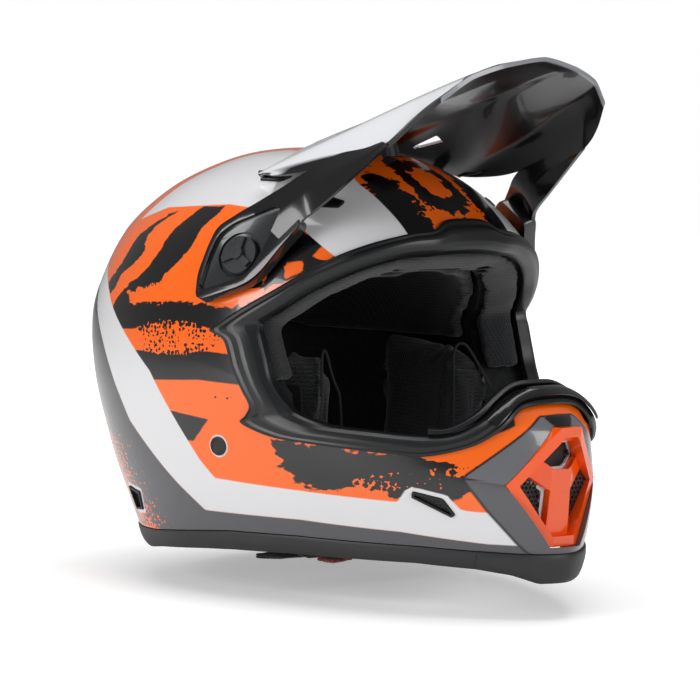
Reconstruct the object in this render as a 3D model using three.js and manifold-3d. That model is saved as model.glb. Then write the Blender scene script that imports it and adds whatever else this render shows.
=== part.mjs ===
// A motocross helmet: shell, foam, padding, eyeport trim, mouthpiece, tilting visor and chin strap.
// Millimetres, +Z up. The helmet faces -Y and the wearer's left side is +X. The rim stands on z = 0.
import * as THREE from "three";
import { mergeVertices } from "three/addons/utils/BufferGeometryUtils.js";
import Module from "manifold-3d";

const wasm = await Module();
wasm.setup();

// ---- Driving dimensions ----

const AXIS_Y = 31; // the crown's axis stands this far behind the middle of the helmet's length
const SHELL_WALL = 3.5;
const FOAM_OUT = 4.4; // depths below the shell's outer face
const FOAM_IN = 34;
const LINER_OUT = 34.5;
const LINER_IN = 46;
const FOAM_SPLIT_Y = -84; // where the crown's foam meets the chin's
const FOAM_BOTTOM = 36; // heights above the rim plane
const LINER_BOTTOM = 124;
const PORT_EDGE = 0.42; // where the shell ends between the gasket's outer (0) and inner (1) edges
const TRIM_END = 13.2; // degrees from the nose where the chin trim meets the base trim
const VISOR_WALL = 2.4;
const VISOR_TILT_SLOT = 24; // length of the slot that the visor's middle screw runs in
const PIVOT = new THREE.Vector3(113.7, -56.7, 180.7); // middle of the visor's left screw
const KNOB_RADIUS = 11;
const GAP = 0.35; // between neighbouring pieces
const RIVET = { degrees: 69, height: 70 }; // bearing and height of the strap's rivets
const BOWL_SIDES = 40; // facets round the shell, the foam and the liner
// Levels of the facets' edges, counted in rings from the lowest.
const BOWL_LEVELS = [3, 4, 5, 6.5, 8, 9, 10, 11, 12.2, 13.4, 14.6, 15.7, 16.6, 17.4];

// The shell's outer face: level rings, each a superellipse.
// height, half width, reach forward, reach back, front exponent, back exponent
const RINGS = [
  [-12, 99, 205, 93, 1.62, 2.15],
  [0, 102, 207, 99, 1.62, 2.15],
  [14, 107, 210, 105, 1.62, 2.15],
  [30, 112, 213, 112, 1.64, 2.15],
  [52, 118, 213, 123, 1.68, 2.15],
  [75, 121.5, 209, 134, 1.68, 2.15],
  [90, 123, 204, 141, 1.7, 2.15],
  [105, 124, 188, 146, 1.8, 2.15],
  [125, 124, 166, 150, 1.92, 2.15],
  [145, 122.5, 150, 149, 2.05, 2.15],
  [165, 118, 141, 140, 2.1, 2.15],
  [182, 111, 135, 131, 2.12, 2.15],
  [195, 102.5, 127, 122, 2.12, 2.15],
  [208, 91, 114, 107, 2.1, 2.15],
  [220, 76.5, 99, 89, 2.1, 2.15],
  [230, 59, 81, 68, 2.1, 2.1],
  [237, 41, 60, 46, 2.1, 2.1],
  [240.5, 21, 32, 24, 2.1, 2.1],
  [241.5, 0, 0, 0, 2.1, 2.1],
];
const TOP = RINGS.length - 1;

// The lower edge all round: degrees from the nose, underside height, height of the seam with the shell.
const RIM = [
  [0, 0, 17],
  [4, 0, 17],
  [8, 5, 17.5],
  [13, 8, 18.5],
  [22, 10, 20],
  [47, 10, 21],
  [68, 8.5, 20],
  [80, 7, 18],
  [104, 3, 13.5],
  [116, 0, 12.5],
  [180, 0, 12.5],
];

// Half of the eyeport, from the brow's middle down to the nose: degrees from the nose and height,
// first on the gasket's outer edge, then on its inner edge.
const PORT = [
  [0, 200, 0, 184.5],
  [7, 199, 7, 184],
  [11.5, 194, 12, 183],
  [18, 192, 20, 181.5],
  [28, 187, 29, 176],
  [37, 180, 37, 169],
  [45, 171, 44.5, 161],
  [52.5, 161, 50.5, 152],
  [62, 149, 55, 145.5],
  [68.5, 140, 57, 142.5],
  [71, 136, 57.2, 139],
  [66.5, 131, 56.6, 134],
  [64, 116, 55, 122],
  [61, 104, 53.5, 110],
  [58.8, 95, 51, 100.5],
  [60, 89, 49, 95.5],
  [61.3, 84.5, 47, 91.5],
  [53, 78, 41, 86.5],
  [44, 75.5, 36, 85],
  [35, 73.5, 30.5, 84],
  [28, 72, 26, 83],
  [22, 71, 21.5, 82.7],
  [15, 77, 17.5, 84.5],
  [10.5, 86, 13.3, 92],
  [6.8, 95.5, 9.3, 101.5],
  [3.5, 98, 5, 107.5],
  [0, 98.5, 0, 108.5],
];

// ---- Materials ----

function paint(color, roughness, metalness = 0) {
  return new THREE.MeshStandardMaterial({ color, roughness, metalness });
}
const ORANGE = paint(0xff6a0c, 0.25);
const BRIGHT_ORANGE = paint(0xff4a10, 0.25);
const WHITE = paint(0xe9e9e9, 0.3);
const GLOSS_BLACK = paint(0x0b090c, 0.22);
const SATIN_BLACK = paint(0x2b2e31, 0.45);
const TRIM_GREY = paint(0x3a3a3c, 0.5);
const FOAM = paint(0x18191a, 0.9);
const FABRIC = paint(0x1c1e22, 0.9);
const STRAP = paint(0x101012, 0.85);
const RED_STRAP = paint(0x8c1a14, 0.85);
const TAN_LABEL = paint(0x8a6a4c, 0.85);
const MESH = paint(0x141414, 0.5);
const STEEL = paint(0xb8b8ba, 0.3, 0.9);

// ---- Solids ----

const v3 = (x, y, z) => new THREE.Vector3(x, y, z);
const flip = (p) => v3(-p.x, p.y, p.z);

// A closed surface from points and triangles, turned so that its faces point out.
function closed(points, triangles) {
  let volume = 0;
  for (const [a, b, c] of triangles) {
    volume += points[a].dot(points[b].clone().cross(points[c]));
  }
  const index = volume < 0 ? triangles.map(([a, b, c]) => [a, c, b]) : triangles;
  const geometry = new THREE.BufferGeometry();
  const places = points.flatMap((p) => p.toArray());
  geometry.setAttribute("position", new THREE.Float32BufferAttribute(places, 3));
  geometry.setIndex(index.flat());
  return geometry;
}

function solid(geometry) {
  const bare = geometry.clone();
  bare.deleteAttribute("normal");
  bare.deleteAttribute("uv");
  const merged = mergeVertices(bare, 1e-3);
  return new wasm.Manifold(
    new wasm.Mesh({
      numProp: 3,
      vertProperties: merged.attributes.position.array,
      triVerts: new Uint32Array(merged.index.array),
    }),
  );
}

function surface(made) {
  const { vertProperties, triVerts } = made.getMesh();
  const geometry = new THREE.BufferGeometry();
  geometry.setAttribute("position", new THREE.Float32BufferAttribute(vertProperties, 3));
  geometry.setIndex(Array.from(triVerts));
  return geometry;
}

function cut(geometry, ...tools) {
  let made = solid(geometry);
  for (const tool of tools) made = made.subtract(solid(tool));
  return surface(made);
}

function join(...geometries) {
  return surface(geometries.map(solid).reduce((a, b) => a.add(b)));
}

function common(a, b) {
  return surface(solid(a).intersect(solid(b)));
}

// Sections of the same flat profile, joined into a bar, or into a ring when the last meets the first.
function loft(sections, profile, ring = false) {
  const width = profile.length;
  const count = sections.length;
  const triangles = [];
  for (let i = 0; i < (ring ? count : count - 1); i++)
    for (let j = 0; j < width; j++) {
      const [a, b] = [i * width + j, i * width + ((j + 1) % width)];
      const [c, d] = [a, b].map((k) => (k + width) % (count * width));
      triangles.push([a, c, d], [a, d, b]);
    }
  if (!ring) {
    const flat = flatPoints(profile);
    const last = (count - 1) * width;
    for (const [a, b, c] of THREE.ShapeUtils.triangulateShape(flat, []))
      triangles.push([a, b, c], [a + last, c + last, b + last]);
  }
  return closed(sections.flat(), orient(triangles));
}

// Gives every triangle the turning sense of the first one, by walking across shared edges.
function orient(triangles) {
  const edges = new Map();
  triangles.forEach((t, n) =>
    t.forEach((a, k) => {
      const b = t[(k + 1) % 3];
      const key = Math.min(a, b) + "_" + Math.max(a, b);
      edges.set(key, [...(edges.get(key) ?? []), n]);
    }),
  );
  const has = (t, a, b) => t.some((p, k) => p === a && t[(k + 1) % 3] === b);
  const done = new Set([0]);
  const queue = [0];
  while (queue.length) {
    const n = queue.pop();
    const t = triangles[n];
    t.forEach((a, k) => {
      const b = t[(k + 1) % 3];
      for (const m of edges.get(Math.min(a, b) + "_" + Math.max(a, b))) {
        if (done.has(m)) continue;
        if (has(triangles[m], a, b)) triangles[m].reverse();
        done.add(m);
        queue.push(m);
      }
    });
  }
  return triangles;
}

const flatPoints = (outline) => outline.map(([x, y]) => new THREE.Vector2(x, y));

// A flat outline with holes, extruded from z = low to z = high of the given frame.
function plate(outline, holes, low, high, frame = new THREE.Matrix4()) {
  const corners = flatPoints(outline);
  if (THREE.ShapeUtils.isClockWise(corners)) corners.reverse();
  const shape = new THREE.Shape(corners);
  for (const hole of holes) shape.holes.push(new THREE.Path(flatPoints(hole)));
  const made = new THREE.ExtrudeGeometry(shape, { depth: high - low, bevelEnabled: false, steps: 1 });
  return made.translate(0, 0, low).applyMatrix4(frame);
}

function circle(radius, sides, x = 0, y = 0) {
  return Array.from({ length: sides }, (_, i) => {
    const a = (2 * Math.PI * (i + 0.5)) / sides;
    return [x + radius * Math.cos(a), y + radius * Math.sin(a)];
  });
}

// An outline moved in (or out, with a negative distance) by the same distance on every side.
function inset(outline, distance) {
  const sign = THREE.ShapeUtils.isClockWise(flatPoints(outline)) ? -1 : 1;
  return outline.map((p, i) => {
    const before = outline.at(i - 1);
    const after = outline[(i + 1) % outline.length];
    const side = ([ax, ay], [bx, by]) => {
      const length = Math.hypot(bx - ax, by - ay);
      return [(-(by - ay) * sign) / length, ((bx - ax) * sign) / length];
    };
    const [nx, ny] = side(before, p);
    const [mx, my] = side(p, after);
    const reach = distance / (1 + nx * mx + ny * my);
    return [p[0] + (nx + mx) * reach, p[1] + (ny + my) * reach];
  });
}

// ---- The shell's outer face ----

// A smooth row between the rows of a table.
function row(table, t) {
  const i = Math.min(Math.max(Math.floor(t), 0), table.length - 2);
  const f = t - i;
  const last = table.length - 1;
  const [p, a, b, n] = [i - 1, i, i + 1, i + 2].map((k) => table[Math.min(Math.max(k, 0), last)]);
  return a.map((from, k) => {
    const to = b[k];
    const leave = i > 0 ? (to - p[k]) / 2 : to - from;
    const arrive = i + 2 < table.length ? (n[k] - from) / 2 : to - from;
    const rise = f * f * (3 - 2 * f);
    return (1 - rise) * from + rise * to + f * (1 - f) * ((1 - f) * leave - f * arrive);
  });
}

function levelAt(height) {
  let [low, high] = [0, TOP];
  for (let k = 0; k < 40; k++) {
    const middle = (low + high) / 2;
    if (row(RINGS, middle)[0] < height) low = middle;
    else high = middle;
  }
  return (low + high) / 2;
}

function shellAt(degrees, level) {
  const [z, width, front, back, frontPower, backPower] = row(RINGS, level);
  const angle = THREE.MathUtils.degToRad(degrees);
  const [s, c] = [Math.sin(angle), Math.cos(angle)];
  const power = c > 0 ? frontPower : backPower;
  const reach = c > 0 ? front : back;
  if (width < 0.01) return v3(0, 0, z);
  const radius = ((Math.abs(s) / width) ** power + (Math.abs(c) / reach) ** power) ** (-1 / power);
  return v3(radius * s, -radius * c, z);
}

function normalAt(degrees, level) {
  const high = Math.min(level + 0.35, TOP - 0.02);
  const along = shellAt(degrees + 7, level).sub(shellAt(degrees - 7, level));
  const up = shellAt(degrees, high).sub(shellAt(degrees, Math.max(high - 0.7, 0)));
  return along.cross(up).normalize();
}

// The point at a depth below the outer face, with a negative depth outside it.
function skin(degrees, level, depth) {
  if (level > TOP - 0.01) return v3(0, 0, RINGS[TOP][0] - depth);
  return shellAt(degrees, level).addScaledVector(normalAt(degrees, level), -depth);
}

const skinAt = (degrees, height, depth) => skin(degrees, levelAt(height), depth);

// A frame on the outer face: x runs towards the wearer's left, y runs up the face, z points out.
function faceFrame(degrees, height) {
  const level = levelAt(height);
  const out = normalAt(degrees, level);
  const across = v3(0, 0, 1).cross(out).normalize();
  const up = out.clone().cross(across);
  return new THREE.Matrix4().makeBasis(across, up, out).setPosition(shellAt(degrees, level));
}

function rimAt(degrees) {
  const turn = Math.abs(((((degrees + 180) % 360) + 360) % 360) - 180);
  const k = Math.max(RIM.findIndex(([angle]) => angle >= turn), 1);
  const f = (turn - RIM[k - 1][0]) / (RIM[k][0] - RIM[k - 1][0]);
  const [under, seam] = [1, 2].map((n) => THREE.MathUtils.lerp(RIM[k - 1][n], RIM[k][n], f));
  return { under, seam };
}

// A bowl between two depths below the outer face, open downwards, with its edge at a height.
function bowl(outer, inner, edge) {
  const points = [];
  const triangles = [];
  const around = BOWL_SIDES;
  const start = levelAt(edge(0));
  const levels = [null, ...BOWL_LEVELS.filter((level) => level > start + 0.2)];
  const rows = levels.length;
  const grid = (depth) => {
    const first = points.length;
    for (const level of levels)
      for (let j = 0; j < around; j++) {
        const degrees = (360 * j) / around;
        points.push(skin(degrees, level ?? levelAt(edge(degrees)), depth));
      }
    points.push(skin(0, TOP, depth));
    const at = (i, j) => first + i * around + (j % around);
    for (let j = 0; j < around; j++) {
      for (let i = 0; i < rows - 1; i++) {
        const [p, q, r, s] = [at(i, j), at(i, j + 1), at(i + 1, j + 1), at(i + 1, j)];
        triangles.push([p, q, r], [p, r, s]);
      }
      triangles.push([at(rows - 1, j), at(rows - 1, j + 1), points.length - 1]);
    }
    return first;
  };
  const [a, b] = [grid(outer), grid(inner)];
  for (let j = 0; j < around; j++) {
    const k = (j + 1) % around;
    triangles.push([a + j, b + j, b + k], [a + j, b + k, a + k]);
  }
  return closed(points, orient(triangles));
}

// The same, but moved in or out level, so that the height is kept.
function levelSkinAt(degrees, height, depth) {
  const level = levelAt(height);
  return shellAt(degrees, level).addScaledVector(normalAt(degrees, level).setZ(0).normalize(), -depth);
}

// A bar that follows the shell from one bearing to another; its profile is [depth, height] pairs.
function bar(from, to, steps, profileAt, place = skinAt) {
  const sections = [];
  for (let i = 0; i <= steps; i++) {
    const degrees = from + ((to - from) * i) / steps;
    sections.push(profileAt(degrees).map(([depth, height]) => place(degrees, height, depth)));
  }
  return loft(sections, profileAt(from).map(([depth, height]) => [-depth, height]));
}

// ---- The eyeport ----

const otherSide = ([a, z, b, w]) => [-a, z, -b, w];
const PORT_RING = [...PORT, ...PORT.slice(1, -1).reverse().map(otherSide)];

function portLoft(stations, profile, ring = false) {
  const sections = stations.map((station) => profile.map(([f, depth]) => portPoint(station, f, depth)));
  return loft(sections, profile, ring);
}

// A point across the gasket's width, from its outer edge (0) to its inner edge (1).
function portPoint([a, z, b, w], across, depth) {
  return skinAt(THREE.MathUtils.lerp(a, b, across), THREE.MathUtils.lerp(z, w, across), depth);
}

// Everything inside the eyeport's edge, to cut shell and foam with.
function portPlug(across) {
  const ring = (depth) => PORT_RING.map((station) => portPoint(station, across, depth));
  const [front, back] = [ring(-14), ring(52)];
  const count = front.length;
  const points = [...front, ...back, v3(0, -270, 135), v3(0, -20, 140)];
  const triangles = [];
  for (let i = 0; i < count; i++) {
    const k = (i + 1) % count;
    triangles.push([i, k, 2 * count], [count + i, count + k, 2 * count + 1]);
    triangles.push([i, k, count + k], [i, count + k, count + i]);
  }
  return closed(points, orient(triangles));
}

const GASKET_PROFILE = [
  [0, -1.4],
  [0.02, -2.5],
  [0.2, -3.4],
  [0.42, -3.8],
  [0.78, -2.2],
  [1, 1],
  [1, 7.6],
  [0.8, 8.6],
  [0.68, 8],
  [0.66, -1.6],
];

const gasket = () => portLoft(PORT_RING, GASKET_PROFILE, true);

// The fabric-covered lip inside the gasket, round the brow and down both sides.
const LIP_PROFILE = [
  [0.66, 9.4],
  [0.92, 9.6],
  [1.02, 16],
  [0.98, 32.5],
  [0.68, 32.5],
];
const LIP_END = 14;

function browLip() {
  const half = PORT.slice(0, LIP_END);
  return portLoft([...half.slice(1).reverse().map(otherSide), ...half], LIP_PROFILE);
}

const NOSE_GUARD_PROFILE = [
  [1.08, -1],
  [1.3, 0.5],
  [1.42, 5],
  [1.3, 17],
  [1.1, 16],
  [1.08, 3],
];
const NOSE_PANEL_PROFILE = [
  [0.2, -4.9],
  [0.2, -6.1],
  [0.75, -5.2],
  [0.75, -4],
];

// A bar over the nose, through the last stations of the eyeport on both sides.
function noseBar(profile, count) {
  const lower = PORT.slice(-count);
  return portLoft([...lower.map(otherSide), ...lower.slice(0, -1).reverse()], profile);
}

// ---- The mouthpiece ----

const MOUTH = [
  [8, 88],
  [36, 56],
  [12, 20.5],
  [-12, 20.5],
  [-36, 56],
  [-8, 88],
];
const MOUTH_TOP_HOLE = [
  [16.5, 71],
  [9, 79.5],
  [-9, 79.5],
  [-16.5, 71],
  [-5.5, 63.5],
  [5.5, 63.5],
];
const MOUTH_SIDE_HOLE = [
  [22.5, 62],
  [30, 54],
  [9.5, 26],
  [8, 52],
];
const mirrored = (outline) => outline.map(([x, y]) => [-x, y]).reverse();
const MOUTH_HOLES = [MOUTH_TOP_HOLE, MOUTH_SIDE_HOLE, mirrored(MOUTH_SIDE_HOLE)];

// Outline x stays x, outline y becomes height, and the depth runs backwards.
const UPRIGHT = new THREE.Matrix4().makeBasis(v3(1, 0, 0), v3(0, 0, 1), v3(0, -1, 0));

// A flat-fronted wedge, its front and back at these distances before the crown's axis on the middle
// line, that the mouthpiece's layers are cut from.
function mouthLayer(front, back) {
  const reach = (y, x) => y - 0.47 * Math.max(0, Math.abs(x) - 8);
  const outline = [
    ...[-40, -8, 8, 40].map((x) => [x, -reach(front, x)]),
    ...[40, 8, -8, -40].map((x) => [x, -reach(back, x)]),
  ];
  const lean = new THREE.Matrix4().makeShear(0, 0, 0, 0, 0, -0.07);
  const made = plate(outline, [], 10, 100);
  made.translate(0, 0, -56).applyMatrix4(lean).translate(0, 0, 56);
  return made;
}

function mouthCover() {
  const outline = inset(MOUTH, GAP);
  const ring = common(plate(outline, [inset(MOUTH, 6)], 180, 230, UPRIGHT), mouthLayer(209, 199.2));
  const bars = common(plate(inset(MOUTH, 3), MOUTH_HOLES, 180, 230, UPRIGHT), mouthLayer(203.5, 199.2));
  return join(ring, bars);
}

function mouthBezel() {
  const holes = MOUTH_HOLES.map((hole) => inset(hole, 1.3));
  return common(plate(inset(MOUTH, 3.5), holes, 180, 230, UPRIGHT), mouthLayer(198.6, 196.8));
}

function mouthScreen() {
  return common(plate(inset(MOUTH, 3.5), [], 180, 230, UPRIGHT), mouthLayer(196.4, 195.2));
}

// ---- Vents ----

// Bearing and height on the shell, and the opening's outline there for the wearer's left side.
const VENTS = {
  side_vent: {
    degrees: 20.3,
    height: 44.8,
    outline: [[12.5, 7], [-5, 3.4], [-12, -5.8], [-9.5, -7.6], [13.2, 3.2]],
  },
  rear_vent: { degrees: 112, height: 29, outline: [[-9, 7], [9, 9], [6, -6], [-6, -5]] },
  crown_vent: { degrees: 62, height: 223, outline: [[-11, 2], [-3, 6], [11, 5], [9, -3], [-6, -4]] },
  brow_vent: { degrees: 39, height: 209, outline: [[-9, 2], [-2, 5], [9, 4], [7, -3], [-6, -3.5]] },
};

function ventFrame({ degrees, height }, side) {
  return faceFrame(side * degrees, height);
}

function ventOutline({ outline }, side, distance) {
  return inset(side > 0 ? outline : mirrored(outline), distance);
}

// ---- The visor ----

// Rails along the visor, each from its front lip to its tail: middle, raised strip, shoulder, lower edge.
const VISOR_RAILS = [
  [
    [0, -186, 292.6], [0, -168, 288.2], [0, -145, 281.5], [0, -118, 273.2],
    [0, -92, 265.2], [0, -66, 257.6], [0, -43, 250.9], [0, -22, 244.6],
  ],
  [
    [29, -183, 288], [30, -165.5, 284.4], [30, -143.5, 278], [30, -117, 269.7],
    [30, -91.5, 261.6], [30, -66, 254.3], [30, -43.5, 248.1], [30, -24, 242.6],
  ],
  [
    [50, -178.5, 281.2], [56.5, -163, 274.5], [62, -143, 266.5], [69, -116, 255.5],
    [74, -91, 245.8], [77, -66, 237], [79, -48, 230.6], [80, -37, 226.6],
  ],
  [
    [65, -172, 270], [75, -158.5, 256.5], [80, -143, 243], [82, -121, 236.5],
    [83, -98, 231.5], [83.5, -76, 226.8], [82.5, -55, 225], [81, -38, 224.6],
  ],
];
// Rails along the arm, from the blade down to the screw: upper edge, crease, lower edge.
const ARM_RAILS = [
  [
    [79.5, -139, 244.5], [80, -124, 240.5], [80.5, -107, 238], [83, -93, 232.5],
    [87.5, -81, 225.5], [93.5, -71, 218], [104, -55, 206.5],
  ],
  [
    [80.5, -141.5, 244], [82.7, -128, 236.5], [84.5, -114, 231], [87, -100.5, 224],
    [90.3, -88.5, 216], [95.8, -81, 209.5], [104.5, -69.5, 197],
  ],
  [
    [80, -144, 242.5], [83, -131, 232.5], [85.5, -120, 224], [88, -108, 214.5],
    [91, -96, 205.5], [95, -90, 199.5], [102, -83, 187],
  ],
];
// The pod round the screw, in the pod's own plane: x forward, y up, from the screw's middle.
const POD = [
  [36, 24.5], [27, 9], [19.5, -6.5], [14.5, -13.5], [8, -18.5], [-6, -25.7],
  [-18, -31], [-21.8, -16], [-20.6, 2], [-18.5, 13.5], [-3, 27], [12, 37],
];
const POD_RECESS = [
  [20.5, 29], [17, 10], [14, -1], [11, -9.5], [4, -15], [-16, -25],
  [-18.6, -22], [-18, -4], [-16, 9.5], [-8, 17.5], [16, 31],
];
const POD_DEEP = 8.3;
const POD_FLOOR = 5.4;

const railPoint = (rail, t) => v3(...row(rail, t * (rail.length - 1)));

// A sheet through rails: across runs from rail to rail and along runs the rails' length.
function sheetPoint(rails, across, along) {
  return railPoint(rails.map((rail) => railPoint(rail, along).toArray()), across);
}

function sheet(pointAt, acrossSteps, alongSteps, wall) {
  const step = 1e-3;
  const [outer, inner] = [[], []];
  for (let j = 0; j <= alongSteps; j++)
    for (let i = 0; i <= acrossSteps; i++) {
      const [u, w] = [i / acrossSteps, j / alongSteps];
      const across = pointAt(Math.min(u + step, 1), w).sub(pointAt(Math.max(u - step, 0), w));
      const along = pointAt(u, Math.min(w + step, 1)).sub(pointAt(u, Math.max(w - step, 0)));
      const normal = across.cross(along).normalize();
      outer.push(pointAt(u, w));
      inner.push(pointAt(u, w).addScaledVector(normal, -wall));
    }
  const count = outer.length;
  const width = acrossSteps + 1;
  const at = (i, j) => j * width + i;
  const triangles = [];
  for (let j = 0; j < alongSteps; j++)
    for (let i = 0; i < acrossSteps; i++)
      for (const base of [0, count]) {
        const [a, b] = [at(i, j) + base, at(i + 1, j) + base];
        const [c, d] = [at(i + 1, j + 1) + base, at(i, j + 1) + base];
        triangles.push([a, b, c], [a, c, d]);
      }
  const edge = [];
  for (let i = 0; i < acrossSteps; i++) edge.push(at(i, 0));
  for (let j = 0; j < alongSteps; j++) edge.push(at(acrossSteps, j));
  for (let i = acrossSteps; i > 0; i--) edge.push(at(i, alongSteps));
  for (let j = alongSteps; j > 0; j--) edge.push(at(0, j));
  edge.forEach((a, k) => {
    const b = edge[(k + 1) % edge.length];
    triangles.push([a, b, b + count], [a, b + count, a + count]);
  });
  return closed([...outer, ...inner], orient(triangles));
}

// Both halves of the blade as one row of rails, from the wearer's right edge to the left edge.
const rightRails = VISOR_RAILS.slice(1).reverse().map((rail) => rail.map(([x, y, z]) => [-x, y, z]));
const BLADE_RAILS = [...rightRails, ...VISOR_RAILS];

// x runs forward in the pod's plane, y up, z out, for the wearer's left (1) or right (-1) side.
function podFrame(side) {
  const out = v3(0.889 * side, -0.293, 0.353).normalize();
  const forward = v3(0, -1, 0).addScaledVector(out, out.y).normalize();
  const up = side > 0 ? forward.clone().cross(out) : out.clone().cross(forward);
  const centre = v3(PIVOT.x * side, PIVOT.y, PIVOT.z);
  return { out, forward, up, centre };
}

// A plate in the pod's plane; low and high are heights above the pod's face.
function podPlate(side, outline, holes, low, high) {
  const { out, forward, up, centre } = podFrame(side);
  const right = forward.clone().multiplyScalar(-side);
  const frame = new THREE.Matrix4().makeBasis(right, up, out).setPosition(centre);
  const face = (shape) => (side < 0 ? shape : mirrored(shape));
  return plate(face(outline), holes.map(face), low, high, frame);
}

function visorArm(side) {
  const place = (p) => (side > 0 ? p : flip(p));
  const strap = sheet((u, w) => place(sheetPoint(ARM_RAILS, u, w)), 2, 12, VISOR_WALL * side);
  const pod = podPlate(side, POD, [], -POD_DEEP, 0);
  return join(strap, pod);
}

// The middle screw stands square on the visor's upper face.
const SCREW_Y = -53;
const SCREW_Z = 253.9;
const SCREW_LEAN = 15.5; // degrees, backwards
const SCREW_FRAME = new THREE.Matrix4()
  .makeRotationX(-THREE.MathUtils.degToRad(SCREW_LEAN))
  .premultiply(new THREE.Matrix4().makeTranslation(0, SCREW_Y, SCREW_Z));
const SLOT_HALF = 3.6;
const VISOR_WINDOW = [[36, -64], [46, -60], [43, -42], [38, -40]];

function visor() {
  const blade = sheet((u, w) => sheetPoint(BLADE_RAILS, u, w), 14, 12, VISOR_WALL);
  const stretch = VISOR_TILT_SLOT - 2 * SLOT_HALF;
  const slot = circle(SLOT_HALF, 16).map(([x, y]) => [x, y + SCREW_Y + (y > 0 ? stretch : 0)]);
  const gaps = [slot, VISOR_WINDOW, mirrored(VISOR_WINDOW)];
  const tools = gaps.map((outline) => plate(outline, [], 200, 300));
  for (const side of [1, -1]) {
    tools.push(podPlate(side, POD_RECESS, [], -3.2, 5));
    tools.push(podPlate(side, circle(13.6, 28), [], -POD_FLOOR, 5));
    tools.push(podPlate(side, circle(5.4, 16), [], -20, 5));
  }
  return cut(join(blade, visorArm(1), visorArm(-1)), ...tools);
}

function sideScrew(side) {
  const disc = podPlate(side, circle(KNOB_RADIUS, 28), [], -4, -1.6);
  const hub = podPlate(side, circle(3.6, 14), [], -2, 1.4);
  const shank = podPlate(side, circle(3, 12), [], -16, -3.5);
  const spoke = (turn) => {
    const [s, c] = [Math.sin(turn), Math.cos(turn)];
    const arm = [[0, -1.5], [10.2, -1.9], [10.2, 1.9], [0, 1.5]];
    const turned = arm.map(([x, y]) => [x * c - y * s, x * s + y * c]);
    return podPlate(side, turned, [], -2, 0.4);
  };
  return join(disc, hub, shank, ...[90, 210, 330].map((a) => spoke(THREE.MathUtils.degToRad(a))));
}

// ---- Strap, rings and tabs ----

// A flat ribbon through points, its width along Y.
function ribbon(points, y, width, thickness, pointed = 0) {
  const curve = points.map(([x, z]) => new THREE.Vector2(x, z));
  const outline = [];
  const back = [];
  curve.forEach((p, i) => {
    const before = curve[Math.max(i - 1, 0)];
    const after = curve[Math.min(i + 1, curve.length - 1)];
    const across = after.clone().sub(before).normalize().rotateAround(new THREE.Vector2(), Math.PI / 2);
    outline.push(p.clone().addScaledVector(across, thickness / 2).toArray());
    back.push(p.clone().addScaledVector(across, -thickness / 2).toArray());
  });
  const made = plate([...outline, ...back.reverse()], [], -y - width / 2, -y + width / 2, UPRIGHT);
  if (!pointed) return made;
  const [tip] = points.at(-1);
  const nib = [
    [tip, y],
    [tip + pointed, y + width],
    [tip - 4, y + width],
    [tip - 4, y - width],
    [tip + pointed, y - width],
  ];
  return cut(made, plate(nib, [], -20, 60));
}

const LONG_STRAP = [
  [98, 64], [95.8, 48], [92, 30], [89, 19], [84, 9.5], [74, 5.2],
  [50, 3.6], [0, 3], [-40, 3], [-78, 3.4],
];
const SHORT_STRAP = [
  [-98, 64], [-95.8, 48], [-92, 30], [-89, 19], [-84, 10.5], [-74, 7.2],
  [-56, 8.2], [-39.6, 12],
];
const LONG_STRAP_Y = -46;
const SHORT_STRAP_Y = -12;
const STRAP_WIDTH = 24;
const STRAP_THICK = 1.8;

const RING_X = -37.2; // outer face of the rings' straight bars
const RING_WIRE = 2.2;
const RING_HEIGHTS = { lower: 10.2, upper: 13.8 };
const RING = [
  [0, -15.5], [5, -16.5], [11, -15], [17, -10], [20, 0],
  [17, 10], [11, 15], [5, 16.5], [0, 15.5],
];
const FOLD = [[-40.4, 7.2], [-30.6, 7.2], [-30.6, 16.8], [-40.4, 16.8]];

// The strap's end, folded round the straight bars of both rings.
function shortStrap() {
  const half = STRAP_WIDTH / 2;
  const fold = plate(FOLD, [inset(FOLD, 1.3)], -SHORT_STRAP_Y - half, -SHORT_STRAP_Y + half, UPRIGHT);
  return join(ribbon(SHORT_STRAP, SHORT_STRAP_Y, STRAP_WIDTH, STRAP_THICK), fold);
}

// ---- Padding ----

// Profiles of the padding: [depth below the shell's face, height].
const CHEEK_PAD = [
  [8, 9], [8, 33], [37, 36], [37, 98], [43, 119], [47, 122], [50, 131], [57, 128], [61, 104],
  [61, 80], [59, 34], [50, 11], [30, 9],
];
const CHEEK_BASE = [[34.6, 40], [34.6, 104], [36.4, 104], [36.4, 40]];
const NECK_ROLL = [[5, 14], [5, 33], [18, 35], [27, 28], [26, 12], [18, 5.5], [9, 7]];
const CHIN_FOAM = [[6, 23], [6, 71], [21, 75], [24, 60], [23, 26], [16, 22]];

// ---- Assembly ----

const helmet = new THREE.Group();
helmet.position.y = AXIS_Y;

function add(name, geometry, material) {
  const mesh = new THREE.Mesh(geometry, material);
  mesh.name = name;
  helmet.add(mesh);
  return mesh;
}

const SIDES = { left: 1, right: -1 };

function buildShell() {
  const tools = [portPlug(PORT_EDGE), plate(MOUTH, [], 170, 240, UPRIGHT)];
  for (const side of [1, -1]) {
    for (const vent of Object.values(VENTS)) {
      tools.push(plate(ventOutline(vent, side, 0), [], -9, 12, ventFrame(vent, side)));
    }
    tools.push(podPlate(side, circle(3.7, 14), [], -30, -5));
    tools.push(plate(circle(4.4, 14), [], -12, 8, faceFrame(side * RIVET.degrees, RIVET.height)));
  }
  tools.push(plate(circle(3.3, 12), [], -30, -4, SCREW_FRAME));
  return cut(bowl(0, SHELL_WALL, (a) => rimAt(a).seam + GAP), ...tools);
}

function strapChannel(points, y) {
  return ribbon(points, y, STRAP_WIDTH + 4, STRAP_THICK + 3.2);
}

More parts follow.
